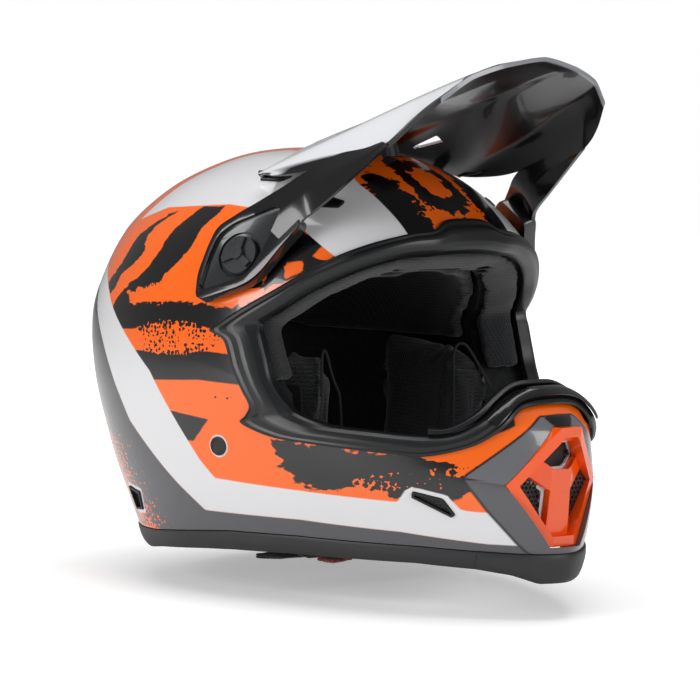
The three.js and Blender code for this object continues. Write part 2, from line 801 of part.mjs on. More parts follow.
function buildFoam() {
  const chinSide = new THREE.BoxGeometry(300, 176, 140).translate(0, FOAM_SPLIT_Y - 88, 50);
  const tools = [portPlug(PORT_EDGE), chinSide];
  for (const side of [1, -1]) {
    tools.push(podPlate(side, circle(4.6, 12), [], -34, -5));
    tools.push(plate(circle(9, 16), [], -14, 8, faceFrame(side * RIVET.degrees, RIVET.height)));
  }
  tools.push(plate(circle(4.5, 12), [], -30, -4, SCREW_FRAME));
  tools.push(strapChannel(LONG_STRAP.slice(0, 5), LONG_STRAP_Y));
  tools.push(strapChannel(SHORT_STRAP.slice(0, 5), SHORT_STRAP_Y));
  return cut(bowl(FOAM_OUT, FOAM_IN, () => FOAM_BOTTOM), ...tools);
}

add("outer_shell", buildShell(), ORANGE);
add("crown_foam", buildFoam(), FOAM);

add(
  "chin_foam",
  cut(
    bar(-46, 46, 14, () => CHIN_FOAM),
    portPlug(PORT_EDGE),
    new THREE.BoxGeometry(300, 100, 140).translate(0, FOAM_SPLIT_Y + 49, 50),
    common(plate(inset(MOUTH, -0.6), [], 150, 240, UPRIGHT), mouthLayer(240, 194.6)),
    plate(inset(MOUTH, 9), [], 170, 240, UPRIGHT),
  ),
  FOAM,
);

add(
  "crown_liner",
  cut(
    bowl(LINER_OUT, LINER_IN, () => LINER_BOTTOM),
    portPlug(PORT_EDGE),
  ),
  FABRIC,
);
add("brow_lip", browLip(), FABRIC);

const STRAP_CHANNELS = {
  left: strapChannel(LONG_STRAP.slice(0, 6), LONG_STRAP_Y),
  right: strapChannel(SHORT_STRAP.slice(0, 6), SHORT_STRAP_Y),
};

for (const [name, side] of Object.entries(SIDES)) {
  const pad = bar(side * 47, side * 98, 12, () => CHEEK_PAD);
  add("cheek_pad_" + name, cut(pad, STRAP_CHANNELS[name]), FABRIC);
  add("cheek_pad_base_" + name, bar(side * 53, side * 95, 10, () => CHEEK_BASE), SATIN_BLACK);
}

add("neck_roll", bar(106, 254, 22, () => NECK_ROLL), FABRIC);
add("eyeport_gasket", gasket(), SATIN_BLACK);
add("nose_guard", noseBar(NOSE_GUARD_PROFILE, 5), SATIN_BLACK);
add("nose_panel", noseBar(NOSE_PANEL_PROFILE, 4), GLOSS_BLACK);

function trimProfile(degrees, proud) {
  const { under, seam } = rimAt(degrees);
  return [
    [0, under],
    [-proud, under + 2.5],
    [-proud, seam - 3],
    [-proud * 0.6, seam],
    [4.6, seam],
    [5.2, under + 2],
    [5, under],
  ];
}
const baseTrim = bar(TRIM_END, 360 - TRIM_END, 60, (a) => trimProfile(a, 1.2), levelSkinAt);
const chinTrim = bar(0.3 - TRIM_END, TRIM_END - 0.3, 12, (a) => trimProfile(a, 2.2), levelSkinAt);
add("base_trim", baseTrim, TRIM_GREY);
add("chin_trim", chinTrim, TRIM_GREY);

add("mouthpiece_cover", mouthCover(), BRIGHT_ORANGE);
add("mouthpiece_bezel", mouthBezel(), WHITE);
add("mouthpiece_screen", mouthScreen(), MESH);

for (const [name, side] of Object.entries(SIDES)) {
  for (const [kind, vent] of Object.entries(VENTS)) {
    const outer = ventOutline(vent, side, GAP);
    const inner = ventOutline(vent, side, 1.6);
    const frame = ventFrame(vent, side);
    const rim = plate(outer, [inner], -3.2, 0.9, frame);
    const screen = plate(ventOutline(vent, side, 1.2), [], -3.2, -2, frame);
    add(kind + "_" + name, join(rim, screen), kind === "rear_vent" ? WHITE : MESH);
  }
}

add("visor", visor(), GLOSS_BLACK);
for (const [name, side] of Object.entries(SIDES)) {
  add("visor_screw_" + name, sideScrew(side), SATIN_BLACK);
}

const screwHead = plate(circle(7, 20), [], 1, 2.9, SCREW_FRAME);
const screwShank = plate(circle(2.7, 12), [], -21, 1.5, SCREW_FRAME);
add("visor_center_screw", join(screwHead, screwShank), SATIN_BLACK);
const boss = plate(circle(8, 18), [circle(3.3, 12)], -20, -8, SCREW_FRAME);
add("visor_center_boss", cut(boss, bowl(-GAP, 14, () => FOAM_BOTTOM)), SATIN_BLACK);

for (const [name, side] of Object.entries(SIDES)) {
  const frame = faceFrame(side * RIVET.degrees, RIVET.height);
  const head = plate(circle(5.6, 20), [], 0.4, 1.4, frame);
  const shank = plate(circle(3.9, 12), [], -4, 1, frame);
  add("strap_rivet_" + name, join(head, shank), STEEL);
}
add("strap_left", ribbon(LONG_STRAP, LONG_STRAP_Y, STRAP_WIDTH, STRAP_THICK, 12), STRAP);
add("strap_right", shortStrap(), STRAP);

for (const [name, height] of Object.entries(RING_HEIGHTS)) {
  const frame = new THREE.Matrix4().makeTranslation(RING_X, SHORT_STRAP_Y, height);
  const ring = plate(RING, [inset(RING, RING_WIRE)], -RING_WIRE / 2, RING_WIRE / 2, frame);
  add("d_ring_" + name, ring, STEEL);
}

for (const [name, side] of Object.entries(SIDES)) {
  const tab = [[0, 0], [18, -3], [20, 9], [3, 12]].map(([x, y]) => [side * (57 + x), -96 + y]);
  add("pull_tab_" + name, plate(tab, [], 5.2, 7.2), RED_STRAP);
}
const label = [[-74, -76], [-62, -80], [-58, -66], [-70, -62]];
add("care_label", plate(label, [], 5.4, 6.2), TAN_LABEL);

const root = new THREE.Group();
root.add(helmet);
export default root;
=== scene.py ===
# A motocross helmet's looks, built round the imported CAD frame. Metres; tables are in millimetres
# measured from the crown's axis, which stands AXIS_Y behind the frame's origin.
import math

import bmesh
import bpy
import numpy as np
from mathutils import Matrix, Vector


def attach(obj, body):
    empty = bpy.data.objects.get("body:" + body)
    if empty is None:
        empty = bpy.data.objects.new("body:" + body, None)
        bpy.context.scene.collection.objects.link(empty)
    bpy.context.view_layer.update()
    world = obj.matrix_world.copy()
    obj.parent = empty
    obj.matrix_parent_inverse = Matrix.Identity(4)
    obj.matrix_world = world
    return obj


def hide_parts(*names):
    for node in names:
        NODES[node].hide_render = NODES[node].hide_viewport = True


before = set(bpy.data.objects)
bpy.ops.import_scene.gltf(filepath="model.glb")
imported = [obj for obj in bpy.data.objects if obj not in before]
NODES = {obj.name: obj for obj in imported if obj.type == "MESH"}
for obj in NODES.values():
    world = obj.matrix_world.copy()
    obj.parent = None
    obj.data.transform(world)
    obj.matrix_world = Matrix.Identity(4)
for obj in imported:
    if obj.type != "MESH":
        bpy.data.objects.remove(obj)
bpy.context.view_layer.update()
MM = 0.001
AXIS_Y = 31.0
SIDES = (("left", 1), ("right", -1))

# ---- camera, light and floor

SCENE = bpy.context.scene
TARGET = np.array([0.0, AXIS_Y, 118.0]) * MM
DISTANCE = 1.7
LENS, SENSOR, SHIFT_X = 143.3, 36.0, 0.0457
LIGHT_AIM = Vector((0, 0, 0.13))
AZIMUTH, ELEVATION, ROLL = (math.radians(a) for a in (42.0, 4.0, 0.7))


def add_camera():
    look = Vector((math.sin(AZIMUTH) * math.cos(ELEVATION), math.cos(AZIMUTH) * math.cos(ELEVATION),
                   -math.sin(ELEVATION)))
    right = Vector((math.cos(AZIMUTH), -math.sin(AZIMUTH), 0.0))
    up = right.cross(look)
    c, s = math.cos(ROLL), math.sin(ROLL)
    right, up = right * c + up * s, up * c - right * s
    data = bpy.data.cameras.new("camera")
    data.lens, data.sensor_width, data.shift_x = LENS, SENSOR, SHIFT_X
    data.clip_end = 20
    cam = bpy.data.objects.new("camera", data)
    SCENE.collection.objects.link(cam)
    place = Matrix((right, up, -look)).transposed().to_4x4()
    place.translation = Vector(TARGET) - look * DISTANCE
    cam.matrix_world = place
    SCENE.camera = cam


def add_light(name, at, size, power, tall=None):
    data = bpy.data.lights.new(name, "AREA")
    data.energy, data.size = power, size
    if tall:
        data.shape, data.size_y = "RECTANGLE", tall
    lamp = bpy.data.objects.new(name, data)
    lamp.location = at
    lamp.rotation_euler = (LIGHT_AIM - Vector(at)).to_track_quat("-Z", "Y").to_euler()
    SCENE.collection.objects.link(lamp)


# ---- materials

def rgb(code):
    parts = [int(code[i:i + 2], 16) / 255 for i in (0, 2, 4)]
    return tuple(p / 12.92 if p <= 0.04045 else ((p + 0.055) / 1.055) ** 2.4 for p in parts) + (1.0,)


class Nodes:
    """A material's node tree, with short calls for what this script needs."""

    def __init__(self, name, rough, coat=0.0, metal=0.0, sheen=0.0, specular=0.5):
        self.material = bpy.data.materials.new(name)
        self.material.use_nodes = True
        self.tree = self.material.node_tree
        self.shader = self.tree.nodes["Principled BSDF"]
        self.set(self.shader, {
            "Roughness": rough, "Metallic": metal, "Coat Weight": coat, "Coat Roughness": 0.04,
            "Sheen Weight": sheen, "Sheen Roughness": 0.5, "Specular IOR Level": specular})

    def set(self, node, values):
        for key, value in values.items():
            node.inputs[key].default_value = value

    def add(self, kind, **settings):
        node = self.tree.nodes.new(kind)
        for key, value in settings.items():
            setattr(node, key, value)
        return node

    def join(self, source, target):
        self.tree.links.new(source, target)

    def give(self, socket, value):
        if isinstance(value, bpy.types.NodeSocket):
            self.join(value, socket)
        else:
            socket.default_value = value

    def math(self, kind, a, b=0.0, clamp=False):
        node = self.add("ShaderNodeMath", operation=kind, use_clamp=clamp)
        self.give(node.inputs[0], a)
        self.give(node.inputs[1], b)
        return node.outputs[0]

    def mix(self, factor, a, b):
        node = self.add("ShaderNodeMix", data_type="RGBA")
        self.give(node.inputs[0], factor)
        self.give(node.inputs[6], a)
        self.give(node.inputs[7], b)
        return node.outputs[2]

    def coords(self):
        return self.add("ShaderNodeTexCoord").outputs["Object"]

    def noise(self, scale, detail=2.0, stretch=None, distortion=0.0):
        node = self.add("ShaderNodeTexNoise")
        self.set(node, {"Scale": scale, "Detail": detail, "Distortion": distortion})
        where = self.coords()
        if stretch:
            mapping = self.add("ShaderNodeMapping")
            self.set(mapping, {"Scale": stretch})
            self.join(where, mapping.inputs["Vector"])
            where = mapping.outputs[0]
        self.join(where, node.inputs["Vector"])
        return node.outputs["Fac"]

    def cells(self, scale, randomness=1.0):
        node = self.add("ShaderNodeTexVoronoi", feature="F1")
        self.set(node, {"Scale": scale, "Randomness": randomness})
        self.join(self.coords(), node.inputs["Vector"])
        return node.outputs["Distance"]

    def attribute(self, name):
        return self.add("ShaderNodeAttribute", attribute_name=name).outputs["Fac"]

    def bump(self, height, strength, distance):
        node = self.add("ShaderNodeBump")
        self.set(node, {"Strength": strength, "Distance": distance})
        self.join(height, node.inputs["Height"])
        self.join(node.outputs[0], self.shader.inputs["Normal"])

    def colour(self, socket):
        self.join(socket, self.shader.inputs["Base Color"])

    def rough(self, socket, low, high):
        node = self.add("ShaderNodeMapRange")
        self.set(node, {"To Min": low, "To Max": high})
        self.join(socket, node.inputs["Value"])
        self.join(node.outputs[0], self.shader.inputs["Roughness"])


WORN, LIFT = 0.06, 0.25  # how far gloss paint darkens in places, and moulded plastic pales


def gloss(name, code, rough):
    n = Nodes(name, rough, coat=0.5)
    base = np.array(rgb(code))
    worn = tuple(np.clip(base * (1 - WORN), 0, 1)[:3]) + (1.0,)
    n.colour(n.mix(n.noise(35, 3), tuple(base), worn))
    n.rough(n.noise(60, 4), rough * 0.85, rough * 1.15)
    n.bump(n.noise(420, 2), 0.04, 0.0004)
    return n.material


def moulded(name, code, rough, grain, depth):
    n = Nodes(name, rough, specular=0.45)
    base = np.array(rgb(code))
    pale = tuple(np.clip(base * (1 + LIFT) + 0.004, 0, 1)[:3]) + (1.0,)
    n.colour(n.mix(n.noise(30, 4), tuple(base), pale))
    n.rough(n.noise(45, 4), rough - 0.06, rough + 0.08)
    n.bump(n.noise(grain, 3), depth, 0.0005)
    return n.material


def knit(name, code, hole, pitch, axes="XY", strength=0.7):
    """Spacer mesh: rows of small diamond holes in a knitted face."""
    n = Nodes(name, 0.85, sheen=0.25)
    split = n.add("ShaderNodeSeparateXYZ")
    n.join(n.coords(), split.inputs[0])
    flat = n.math("ADD", split.outputs[axes[0]], n.math("MULTIPLY", split.outputs[axes[1]], 0.6))
    turn = 2 * math.pi / pitch
    across = n.math("MULTIPLY", n.math("ADD", flat, split.outputs["Z"]), turn)
    along = n.math("MULTIPLY", n.math("SUBTRACT", flat, split.outputs["Z"]), turn)
    waves = n.math("MULTIPLY", n.math("SINE", across), n.math("SINE", along))
    opening = n.math("MULTIPLY", n.math("SUBTRACT", waves, 0.15), 2.4, clamp=True)
    thread = n.mix(n.noise(900, 2), rgb(code), tuple(np.array(rgb(code)) * 1.7))
    n.colour(n.mix(opening, thread, rgb(hole)))
    n.bump(n.math("SUBTRACT", n.math("MULTIPLY", n.noise(1500, 2), 0.2), opening), strength, 0.0008)
    return n.material


def webbing(name, code):
    n = Nodes(name, 0.75, sheen=0.3)
    wave = n.add("ShaderNodeTexWave", wave_type="BANDS", bands_direction="Y")
    n.set(wave, {"Scale": 240, "Distortion": 0.6})
    n.join(n.coords(), wave.inputs["Vector"])
    cross = n.add("ShaderNodeTexWave", wave_type="BANDS", bands_direction="X")
    n.set(cross, {"Scale": 300})
    n.join(n.coords(), cross.inputs["Vector"])
    weave = n.math("MULTIPLY", wave.outputs["Fac"], cross.outputs["Fac"])
    n.colour(n.mix(weave, tuple(np.array(rgb(code)) * 0.5), tuple(np.array(rgb(code)) * 1.5)))
    n.bump(weave, 0.6, 0.0006)
    return n.material


ORANGE, BLACK, WHITE, GREY = rgb("ff6a06"), rgb("060507"), rgb("e0e0e2"), rgb("4c4c50")

# grey of the chin's two facets; the upper facet's lighter grey is a painted reflection
FACET_LOW, FACET_PAINTED_REFLECTION = rgb("525256"), rgb("6a6b6f")


def step(n, value, width=0.35):
    """0 outside and 1 inside an edge, over a width in millimetres."""
    return n.math("ADD", n.math("DIVIDE", value, 2 * width), 0.5, clamp=True)


def shell_paint():
    n = Nodes("shell_paint", 0.2, coat=0.7)
    tear = n.math("SUBTRACT", n.noise(95, 5, (1, 1, 2.2), 0.6), 0.5)
    dots = n.math("SUBTRACT", 0.4, n.cells(370, randomness=0.55))
    spots = n.math("SUBTRACT", n.noise(420, 1, distortion=0.4), 0.5)
    fleck = n.math("ADD", n.math("MULTIPLY", dots, 0.7), spots)
    rag = n.math("ADD", n.math("MULTIPLY", tear, n.attribute("tear")),
                 n.math("MULTIPLY", fleck, n.attribute("fleck")))
    black = step(n, n.math("ADD", n.attribute("black"), rag))
    orange = step(n, n.math("ADD", n.attribute("orange"), rag))
    paint = n.mix(black, ORANGE, BLACK)
    paint = n.mix(orange, paint, ORANGE)
    lower = n.mix(n.attribute("fade"), GREY, BLACK)
    dust = step(n, n.math("ADD", n.attribute("dust"), n.math("MULTIPLY", fleck, 70.0)), 1.0)
    lower = n.mix(dust, lower, ORANGE)
    paint = n.mix(step(n, n.attribute("lower")), paint, lower)
    paint = n.mix(step(n, n.attribute("white")), paint, WHITE)
    panel = n.attribute("panel")
    paint = n.mix(step(n, n.math("ADD", panel, 0.9)), paint, BLACK)
    # painted reflection: the upper facet is painted a lighter grey than the lower one
    facets_with_reflection = n.mix(step(n, n.attribute("upper_facet")), FACET_LOW, FACET_PAINTED_REFLECTION)
    paint = n.mix(step(n, panel), paint, facets_with_reflection)
    paint = n.mix(step(n, n.attribute("panel_lines")), paint, BLACK)
    n.colour(paint)
    n.rough(n.noise(40, 4), 0.17, 0.26)
    n.bump(n.noise(260, 2), 0.03, 0.0004)
    return n.material


# ---- the shell's outer face

RINGS = np.array([
    [-12, 99, 205, 93, 1.62, 2.15], [0, 102, 207, 99, 1.62, 2.15], [14, 107, 210, 105, 1.62, 2.15],
    [30, 112, 213, 112, 1.64, 2.15], [52, 118, 213, 123, 1.68, 2.15], [75, 121.5, 209, 134, 1.68, 2.15],
    [90, 123, 204, 141, 1.7, 2.15], [105, 124, 188, 146, 1.8, 2.15], [125, 124, 166, 150, 1.92, 2.15],
    [145, 122.5, 150, 149, 2.05, 2.15], [165, 118, 141, 140, 2.1, 2.15], [182, 111, 135, 131, 2.12, 2.15],
    [195, 102.5, 127, 122, 2.12, 2.15], [208, 91, 114, 107, 2.1, 2.15], [220, 76.5, 99, 89, 2.1, 2.15],
    [230, 59, 81, 68, 2.1, 2.1], [237, 41, 60, 46, 2.1, 2.1], [240.5, 21, 32, 24, 2.1, 2.1],
    [241.5, 0, 0, 0, 2.1, 2.1]])
TOP = len(RINGS) - 1
RIM = np.array([[0, 0, 17], [4, 0, 17], [8, 5, 17.5], [13, 8, 18.5], [22, 10, 20], [47, 10, 21],
                [68, 8.5, 20], [80, 7, 18], [104, 3, 13.5], [116, 0, 12.5], [180, 0, 12.5]], float)


def rows(table, t):
    """A smooth row between the rows of a table, for an array of places."""
    table = np.asarray(table, float)
    t = np.asarray(t, float)
    i = np.clip(np.floor(t).astype(int), 0, len(table) - 2)
    f = (t - i)[..., None]
    a, b = table[i], table[i + 1]
    p, q = table[np.maximum(i - 1, 0)], table[np.minimum(i + 2, len(table) - 1)]
    leave = np.where((i > 0)[..., None], (b - p) / 2, b - a)
    arrive = np.where((i + 2 < len(table))[..., None], (q - a) / 2, b - a)
    rise = f * f * (3 - 2 * f)
    return (1 - rise) * a + rise * b + f * (1 - f) * ((1 - f) * leave - f * arrive)


LEVELS = np.linspace(0, TOP, 4001)
HEIGHTS = rows(RINGS, LEVELS)[:, 0]


def level_at(height):
    return np.interp(height, HEIGHTS, LEVELS)


def shell_at(degrees, level):
    z, wide, front, back, fp, bp = np.moveaxis(rows(RINGS, level), -1, 0)
    a = np.radians(degrees)
    s, c = np.sin(a), np.cos(a)
    power, reach = np.where(c > 0, fp, bp), np.where(c > 0, front, back)
    with np.errstate(divide="ignore", invalid="ignore"):
        r = ((abs(s) / wide) ** power + (abs(c) / reach) ** power) ** (-1 / power)
    r = np.where(wide > 0.01, r, 0)
    return np.stack([r * s, -r * c, z + 0 * r], -1)


def unit(vectors):
    return vectors / (np.linalg.norm(vectors, axis=-1, keepdims=True) + 1e-12)


TURN_STEP, LEVEL_STEP = 7, 0.35  # how far to each side a slope is measured


def normal_at(degrees, level):
    high = np.minimum(level + LEVEL_STEP, TOP - 0.02)
    along = shell_at(degrees + TURN_STEP, level) - shell_at(degrees - TURN_STEP, level)
    up = shell_at(degrees, high) - shell_at(degrees, np.maximum(high - 2 * LEVEL_STEP, 0))
    out = np.cross(along, up)
    return unit(out)


def skin(degrees, height, depth, flat=False):
    """Points at a depth below the outer face, in millimetres from the crown's axis."""
    given = (np.asarray(v, float) for v in (degrees, height, depth))
    degrees, height, depth = np.broadcast_arrays(*given)
    level = level_at(height)
    out = normal_at(degrees, level)
    if flat:
        out = out * [1, 1, 0]
        out = out / np.linalg.norm(out, axis=-1, keepdims=True)
    return shell_at(degrees, level) - out * depth[..., None]


# ---- meshes

SHARP_ANGLE = 38  # degrees


def new(name, points, faces, material, body="helmet"):
    """An object from points in millimetres from the crown's axis."""
    mesh = bpy.data.meshes.new(name)
    mesh.from_pydata(((np.asarray(points, float) + [0, AXIS_Y, 0]) * MM).tolist(), [], faces)
    mesh.validate()
    obj = bpy.data.objects.new(name, mesh)
    SCENE.collection.objects.link(obj)
    tidy(obj)
    if material:
        mesh.materials.append(material)
    if body:
        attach(obj, body)
    return obj


def tidy(obj):
    """Merges doubles, turns the faces outwards, and smooths all but the sharp edges."""
    bm = bmesh.new()
    bm.from_mesh(obj.data)
    bmesh.ops.remove_doubles(bm, verts=bm.verts, dist=1e-6)
    bmesh.ops.recalc_face_normals(bm, faces=bm.faces)
    bm.to_mesh(obj.data)
    bm.free()
    obj.data.shade_smooth()
    obj.data.set_sharp_from_angle(angle=math.radians(SHARP_ANGLE))


def strip(size, loop_u=False, loop_v=False, start=0):
    """Faces of a grid of this many rows and columns, whose ends may be joined."""
    m, k = size
    faces = []
    for i in range(m if loop_v else m - 1):
        for j in range(k if loop_u else k - 1):
            a, b = i * k + j, i * k + (j + 1) % k
            c, d = ((i + 1) % m) * k + (j + 1) % k, ((i + 1) % m) * k + j
            faces.append([start + a, start + b, start + c, start + d])
    return faces


def sweep(name, sections, material, ring=False):
    """Closed sections of the same size joined into a bar, or into a ring."""
    sections = np.asarray(sections)
    m, k = sections.shape[:2]
    faces = strip((m, k), loop_u=True, loop_v=ring)
    if not ring:
        faces += [list(range(k)), list(range((m - 1) * k, m * k))[::-1]]
    return new(name, sections.reshape(-1, 3), faces, material)


def rounded(profile, radius, steps=4):
    """A profile with each corner turned into a short curve."""
    profile = np.asarray(profile, float)
    out = []
    count = len(profile)
    for i, p in enumerate(profile):
        a, b = profile[i - 1] - p, profile[(i + 1) % count] - p
        la, lb = np.linalg.norm(a), np.linalg.norm(b)
        r = min(radius, 0.45 * la, 0.45 * lb)
        start, end = p + a / la * r, p + b / lb * r
        for t in np.linspace(0, 1, steps):
            out.append((1 - t) ** 2 * start + 2 * t * (1 - t) * p + t * t * end)
    return np.array(out)


def modified(obj, kind, **settings):
    mod = obj.modifiers.new(kind.lower(), kind)
    for key, value in settings.items():
        setattr(mod, key, value)


def bevelled(obj, width, angle=40):
    modified(obj, "BEVEL", width=width, segments=3, limit_method="ANGLE", angle_limit=math.radians(angle))


def settle(obj):
    """Applies every modifier on an object."""
    graph = bpy.context.evaluated_depsgraph_get()
    mesh = bpy.data.meshes.new_from_object(
        obj.evaluated_get(graph), preserve_all_data_layers=True, depsgraph=graph)
    old = obj.data
    obj.modifiers.clear()
    obj.data = mesh
    bpy.data.meshes.remove(old)


def joined(parts):
    """Joins parts into the first of them."""
    bpy.ops.object.select_all(action="DESELECT")
    for part in parts:
        part.select_set(True)
    bpy.context.view_layer.objects.active = parts[0]
    bpy.ops.object.join()


def cut(obj, *tools):
    for tool in tools:
        modified(obj, "BOOLEAN", object=tool, operation="DIFFERENCE", solver="EXACT")
    settle(obj)
    for tool in tools:
        bpy.data.objects.remove(tool, do_unlink=True)
    tidy(obj)


def prism(name, outline, low, high, basis, material=None, body=None):
    """An outline extruded along a basis: (origin, x, y, z) in millimetres."""
    origin, x, y, z = (np.asarray(v, float) for v in basis)
    flat = np.asarray(outline, float)
    ring = origin + flat[:, :1] * x + flat[:, 1:] * y
    points = np.vstack([ring + low * z, ring + high * z])
    k = len(flat)
    faces = [[i, (i + 1) % k, k + (i + 1) % k, k + i] for i in range(k)]
    faces += [list(range(k))[::-1], list(range(k, 2 * k))]
    return new(name, points, faces, material, body)


def circle(radius, sides):
    a = 2 * math.pi * (np.arange(sides) + 0.5) / sides
    return np.stack([radius * np.cos(a), radius * np.sin(a)], -1)


def face_basis(degrees, height):
    level = level_at(height)
    out = normal_at(np.float64(degrees), level)
    across = np.cross([0, 0, 1], out)
    across /= np.linalg.norm(across)
    return shell_at(np.float64(degrees), level), across, np.cross(out, across), out


def copy_of(name, node, material):
    """A new piece that starts as a CAD node's mesh."""
    obj = bpy.data.objects.new(name, NODES[node].data.copy())
    SCENE.collection.objects.link(obj)
    obj.data.materials.clear()
    obj.data.materials.append(material)
    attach(obj, "helmet")
    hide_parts(node)
    return obj


# ---- graphics

BLACK_MARKS = {
    "stripe_a": ([(89, 206), (77, 207), (81, 198), (83, 194), (84, 182), (87, 175), (90, 169), (93, 160),
                  (103, 155), (110, 138), (115, 149), (108, 159), (102, 167), (98, 178), (97, 190),
                  (93, 199)], 2),
    "stripe_b": ([(107, 200), (101, 203), (108, 194), (109, 188), (106, 177), (110, 171), (115, 164),
                  (118, 152), (124, 158), (119, 168), (117, 176), (116, 187), (111, 195)], 3),
    "row_1": ([(50, 138), (50, 152), (75, 152.5), (114, 148), (122, 131), (75, 137)], 0.3),
    "row_2": ([(50, 105), (50, 121), (75, 124.6), (119, 118.6), (122, 101), (75, 107.4)], 0.15),
    "row_3": ([(100, 91), (72, 85), (75, 78), (78, 71), (92, 73)], 0.8),
    "jaw": ([(53, 76), (45, 76), (32, 73), (24, 71), (12, 64), (9, 56), (16, 49), (23, 43), (28, 49), (34, 53),
             (40, 48), (46, 53), (52, 60), (50, 65), (53, 70)], 7),
    "temple": ([(48, 195), (41, 187), (37, 180), (56, 159), (64, 161), (59, 167), (55, 177), (52, 186)], 1),
    "brow_a": ([(18, 188), (27, 220), (24, 229), (15, 224), (10, 208), (12, 190)], 9),
    "brow_b": ([(9, 207), (3, 204), (-2, 205), (-2, 211), (4, 214), (7, 226), (0, 232), (0, 238),
                (12, 232)], 7),
    "mouth_line": ([(8, 96), (8, 89), (14, 80), (16, 80), (10, 92)], 0.5),
}
ORANGE_MARKS = {
    "chip_1": ([(59, 169), (55, 175), (56, 164)], 1),
    "chip_2": ([(51, 176), (46, 177), (46, 171), (51, 166)], 0.5),
    "chip_3": ([(44, 179), (41, 187), (38, 180), (40, 178)], 2),
    "torn_row": ([(108, 154), (94, 160), (79, 164), (66, 160), (55, 161), (66, 149), (72, 151), (83, 153),
                  (106, 149)], 6),
}
SWEEP = [(12, 23), (25, 28), (46, 31), (76.5, 31), (85, 44), (105.5, 79), (121, 124), (133, 153), (150, 172),
         (168, 186)]  # where the white sweep meets the grey below it
WHITE_MARKS = [
    SWEEP + [(158, 194), (140, 178), (123.5, 158), (94, 110), (76, 61), (71, 51), (46, 48), (26, 45), (14, 41),
             (6, 40), (6, 22)],
    [(26, 46), (25, 52), (18.5, 49.5), (15.8, 40), (15.8, 30), (26, 36)],
]
LOWER = [(-2, -5), (-2, 24)] + SWEEP + [(182, 190), (182, -5)]
PANEL = [(-4, 94), (3.7, 93), (16.2, 60), (15.5, 56), (12.5, 42), (8, 24), (6.2, 18), (-4, 12)]
PANEL_TOP = [(-4, 93.5), (3.4, 93.5), (1.8, 87.5), (-4, 87.5)]
FACET_SPLIT = [(5, 53.6), (30, 67)]
SPECKLE = [  # places where orange and black break up into flecks: bearing, height, reach, strength
    (86, 131, 24, 30), (74, 131, 12, 30), (66, 98, 9, 34), (74, 57, 16, 30), (60, 55, 14, 24),
    (26, 57, 14, 24), (17, 62, 9, 26), (92, 157, 14, 12), (76, 160, 10, 12), (12, 208, 12, 12),
    (30, 205, 9, 14)]
WHITE_LOW = np.array([(0, 150), (37, 178), (48, 197), (60, 205), (76, 207.6), (110, 204.6), (124, 197),
                      (150, 192), (180, 190)], float)
STRIPE_EDGE = np.array([(-130, 38), (-120, 41), (-83, 44), (-40, 36), (-5, 29), (24, 47), (36, 60.6), (60, 88),
                        (150, 125)], float)
RIVET = (69.0, 70.0)  # bearing and height of the strap's rivets
RIVET_RING = 6.6  # radius of the bare ring round each rivet
VENT_RING, VENT_REACH = 2.2, 30  # width of the pale edge round a vent, and how far it is looked for
DEGREE = 2.05  # millimetres along the shell for each degree of bearing
SCALE = np.array([DEGREE, 1.0])
FLECK_RISE, FLECK_GAIN, TEAR_GAIN = 2.6, 1.6, 2.2
FADE_FROM, FADE_OVER = 62, 50  # heights over which the dusty grey turns black
DUST_PATH = [15, 50, 100], [112, 124, 137]  # heights, and the dust's bearing at each
DUST_HALF, DUST_FALL, DUST_THIN = 13, 1.6, 0.9
FAR = -60.0  # a signed distance that no mark reaches


def inside(points, outline):
    """Signed distance to an outline, positive inside."""
    a = np.asarray(outline, float)
    b = np.roll(a, -1, 0)
    best = np.full(len(points), 1e9)
    odd = np.zeros(len(points), bool)
    for p, q in zip(a, b):
        e = q - p
        w = points - p
        t = np.clip(w @ e / (e @ e), 0, 1)
        best = np.minimum(best, np.linalg.norm(w - t[:, None] * e, axis=1))
        cross = (p[1] > points[:, 1]) != (q[1] > points[:, 1])
        with np.errstate(divide="ignore", invalid="ignore"):
            at = p[0] + (points[:, 1] - p[1]) * e[0] / e[1]
        odd ^= cross & (points[:, 0] < at)
    return np.where(odd, best, -best)


def within(points, outline):
    """inside() for an outline of bearings and heights, and points scaled to match."""
    return inside(points, np.array(outline, float) * SCALE)


def union(points, marks):
    total = np.full(len(points), FAR)
    tear = np.zeros(len(points))
    for outline, amount in marks.values():
        d = within(points, outline)
        near = d > total
        tear = np.where(near, amount, tear)
        total = np.maximum(total, d)
    return total, tear


def where(obj):
    """Vertices in millimetres from the crown's axis."""
    at = np.empty(len(obj.data.vertices) * 3)
    obj.data.vertices.foreach_get("co", at)
    return at.reshape(-1, 3) / MM - [0, AXIS_Y, 0]


def put(obj, name, values):
    layer = obj.data.attributes.new(name, "FLOAT", "POINT")
    layer.data.foreach_set("value", np.asarray(values, np.float32))


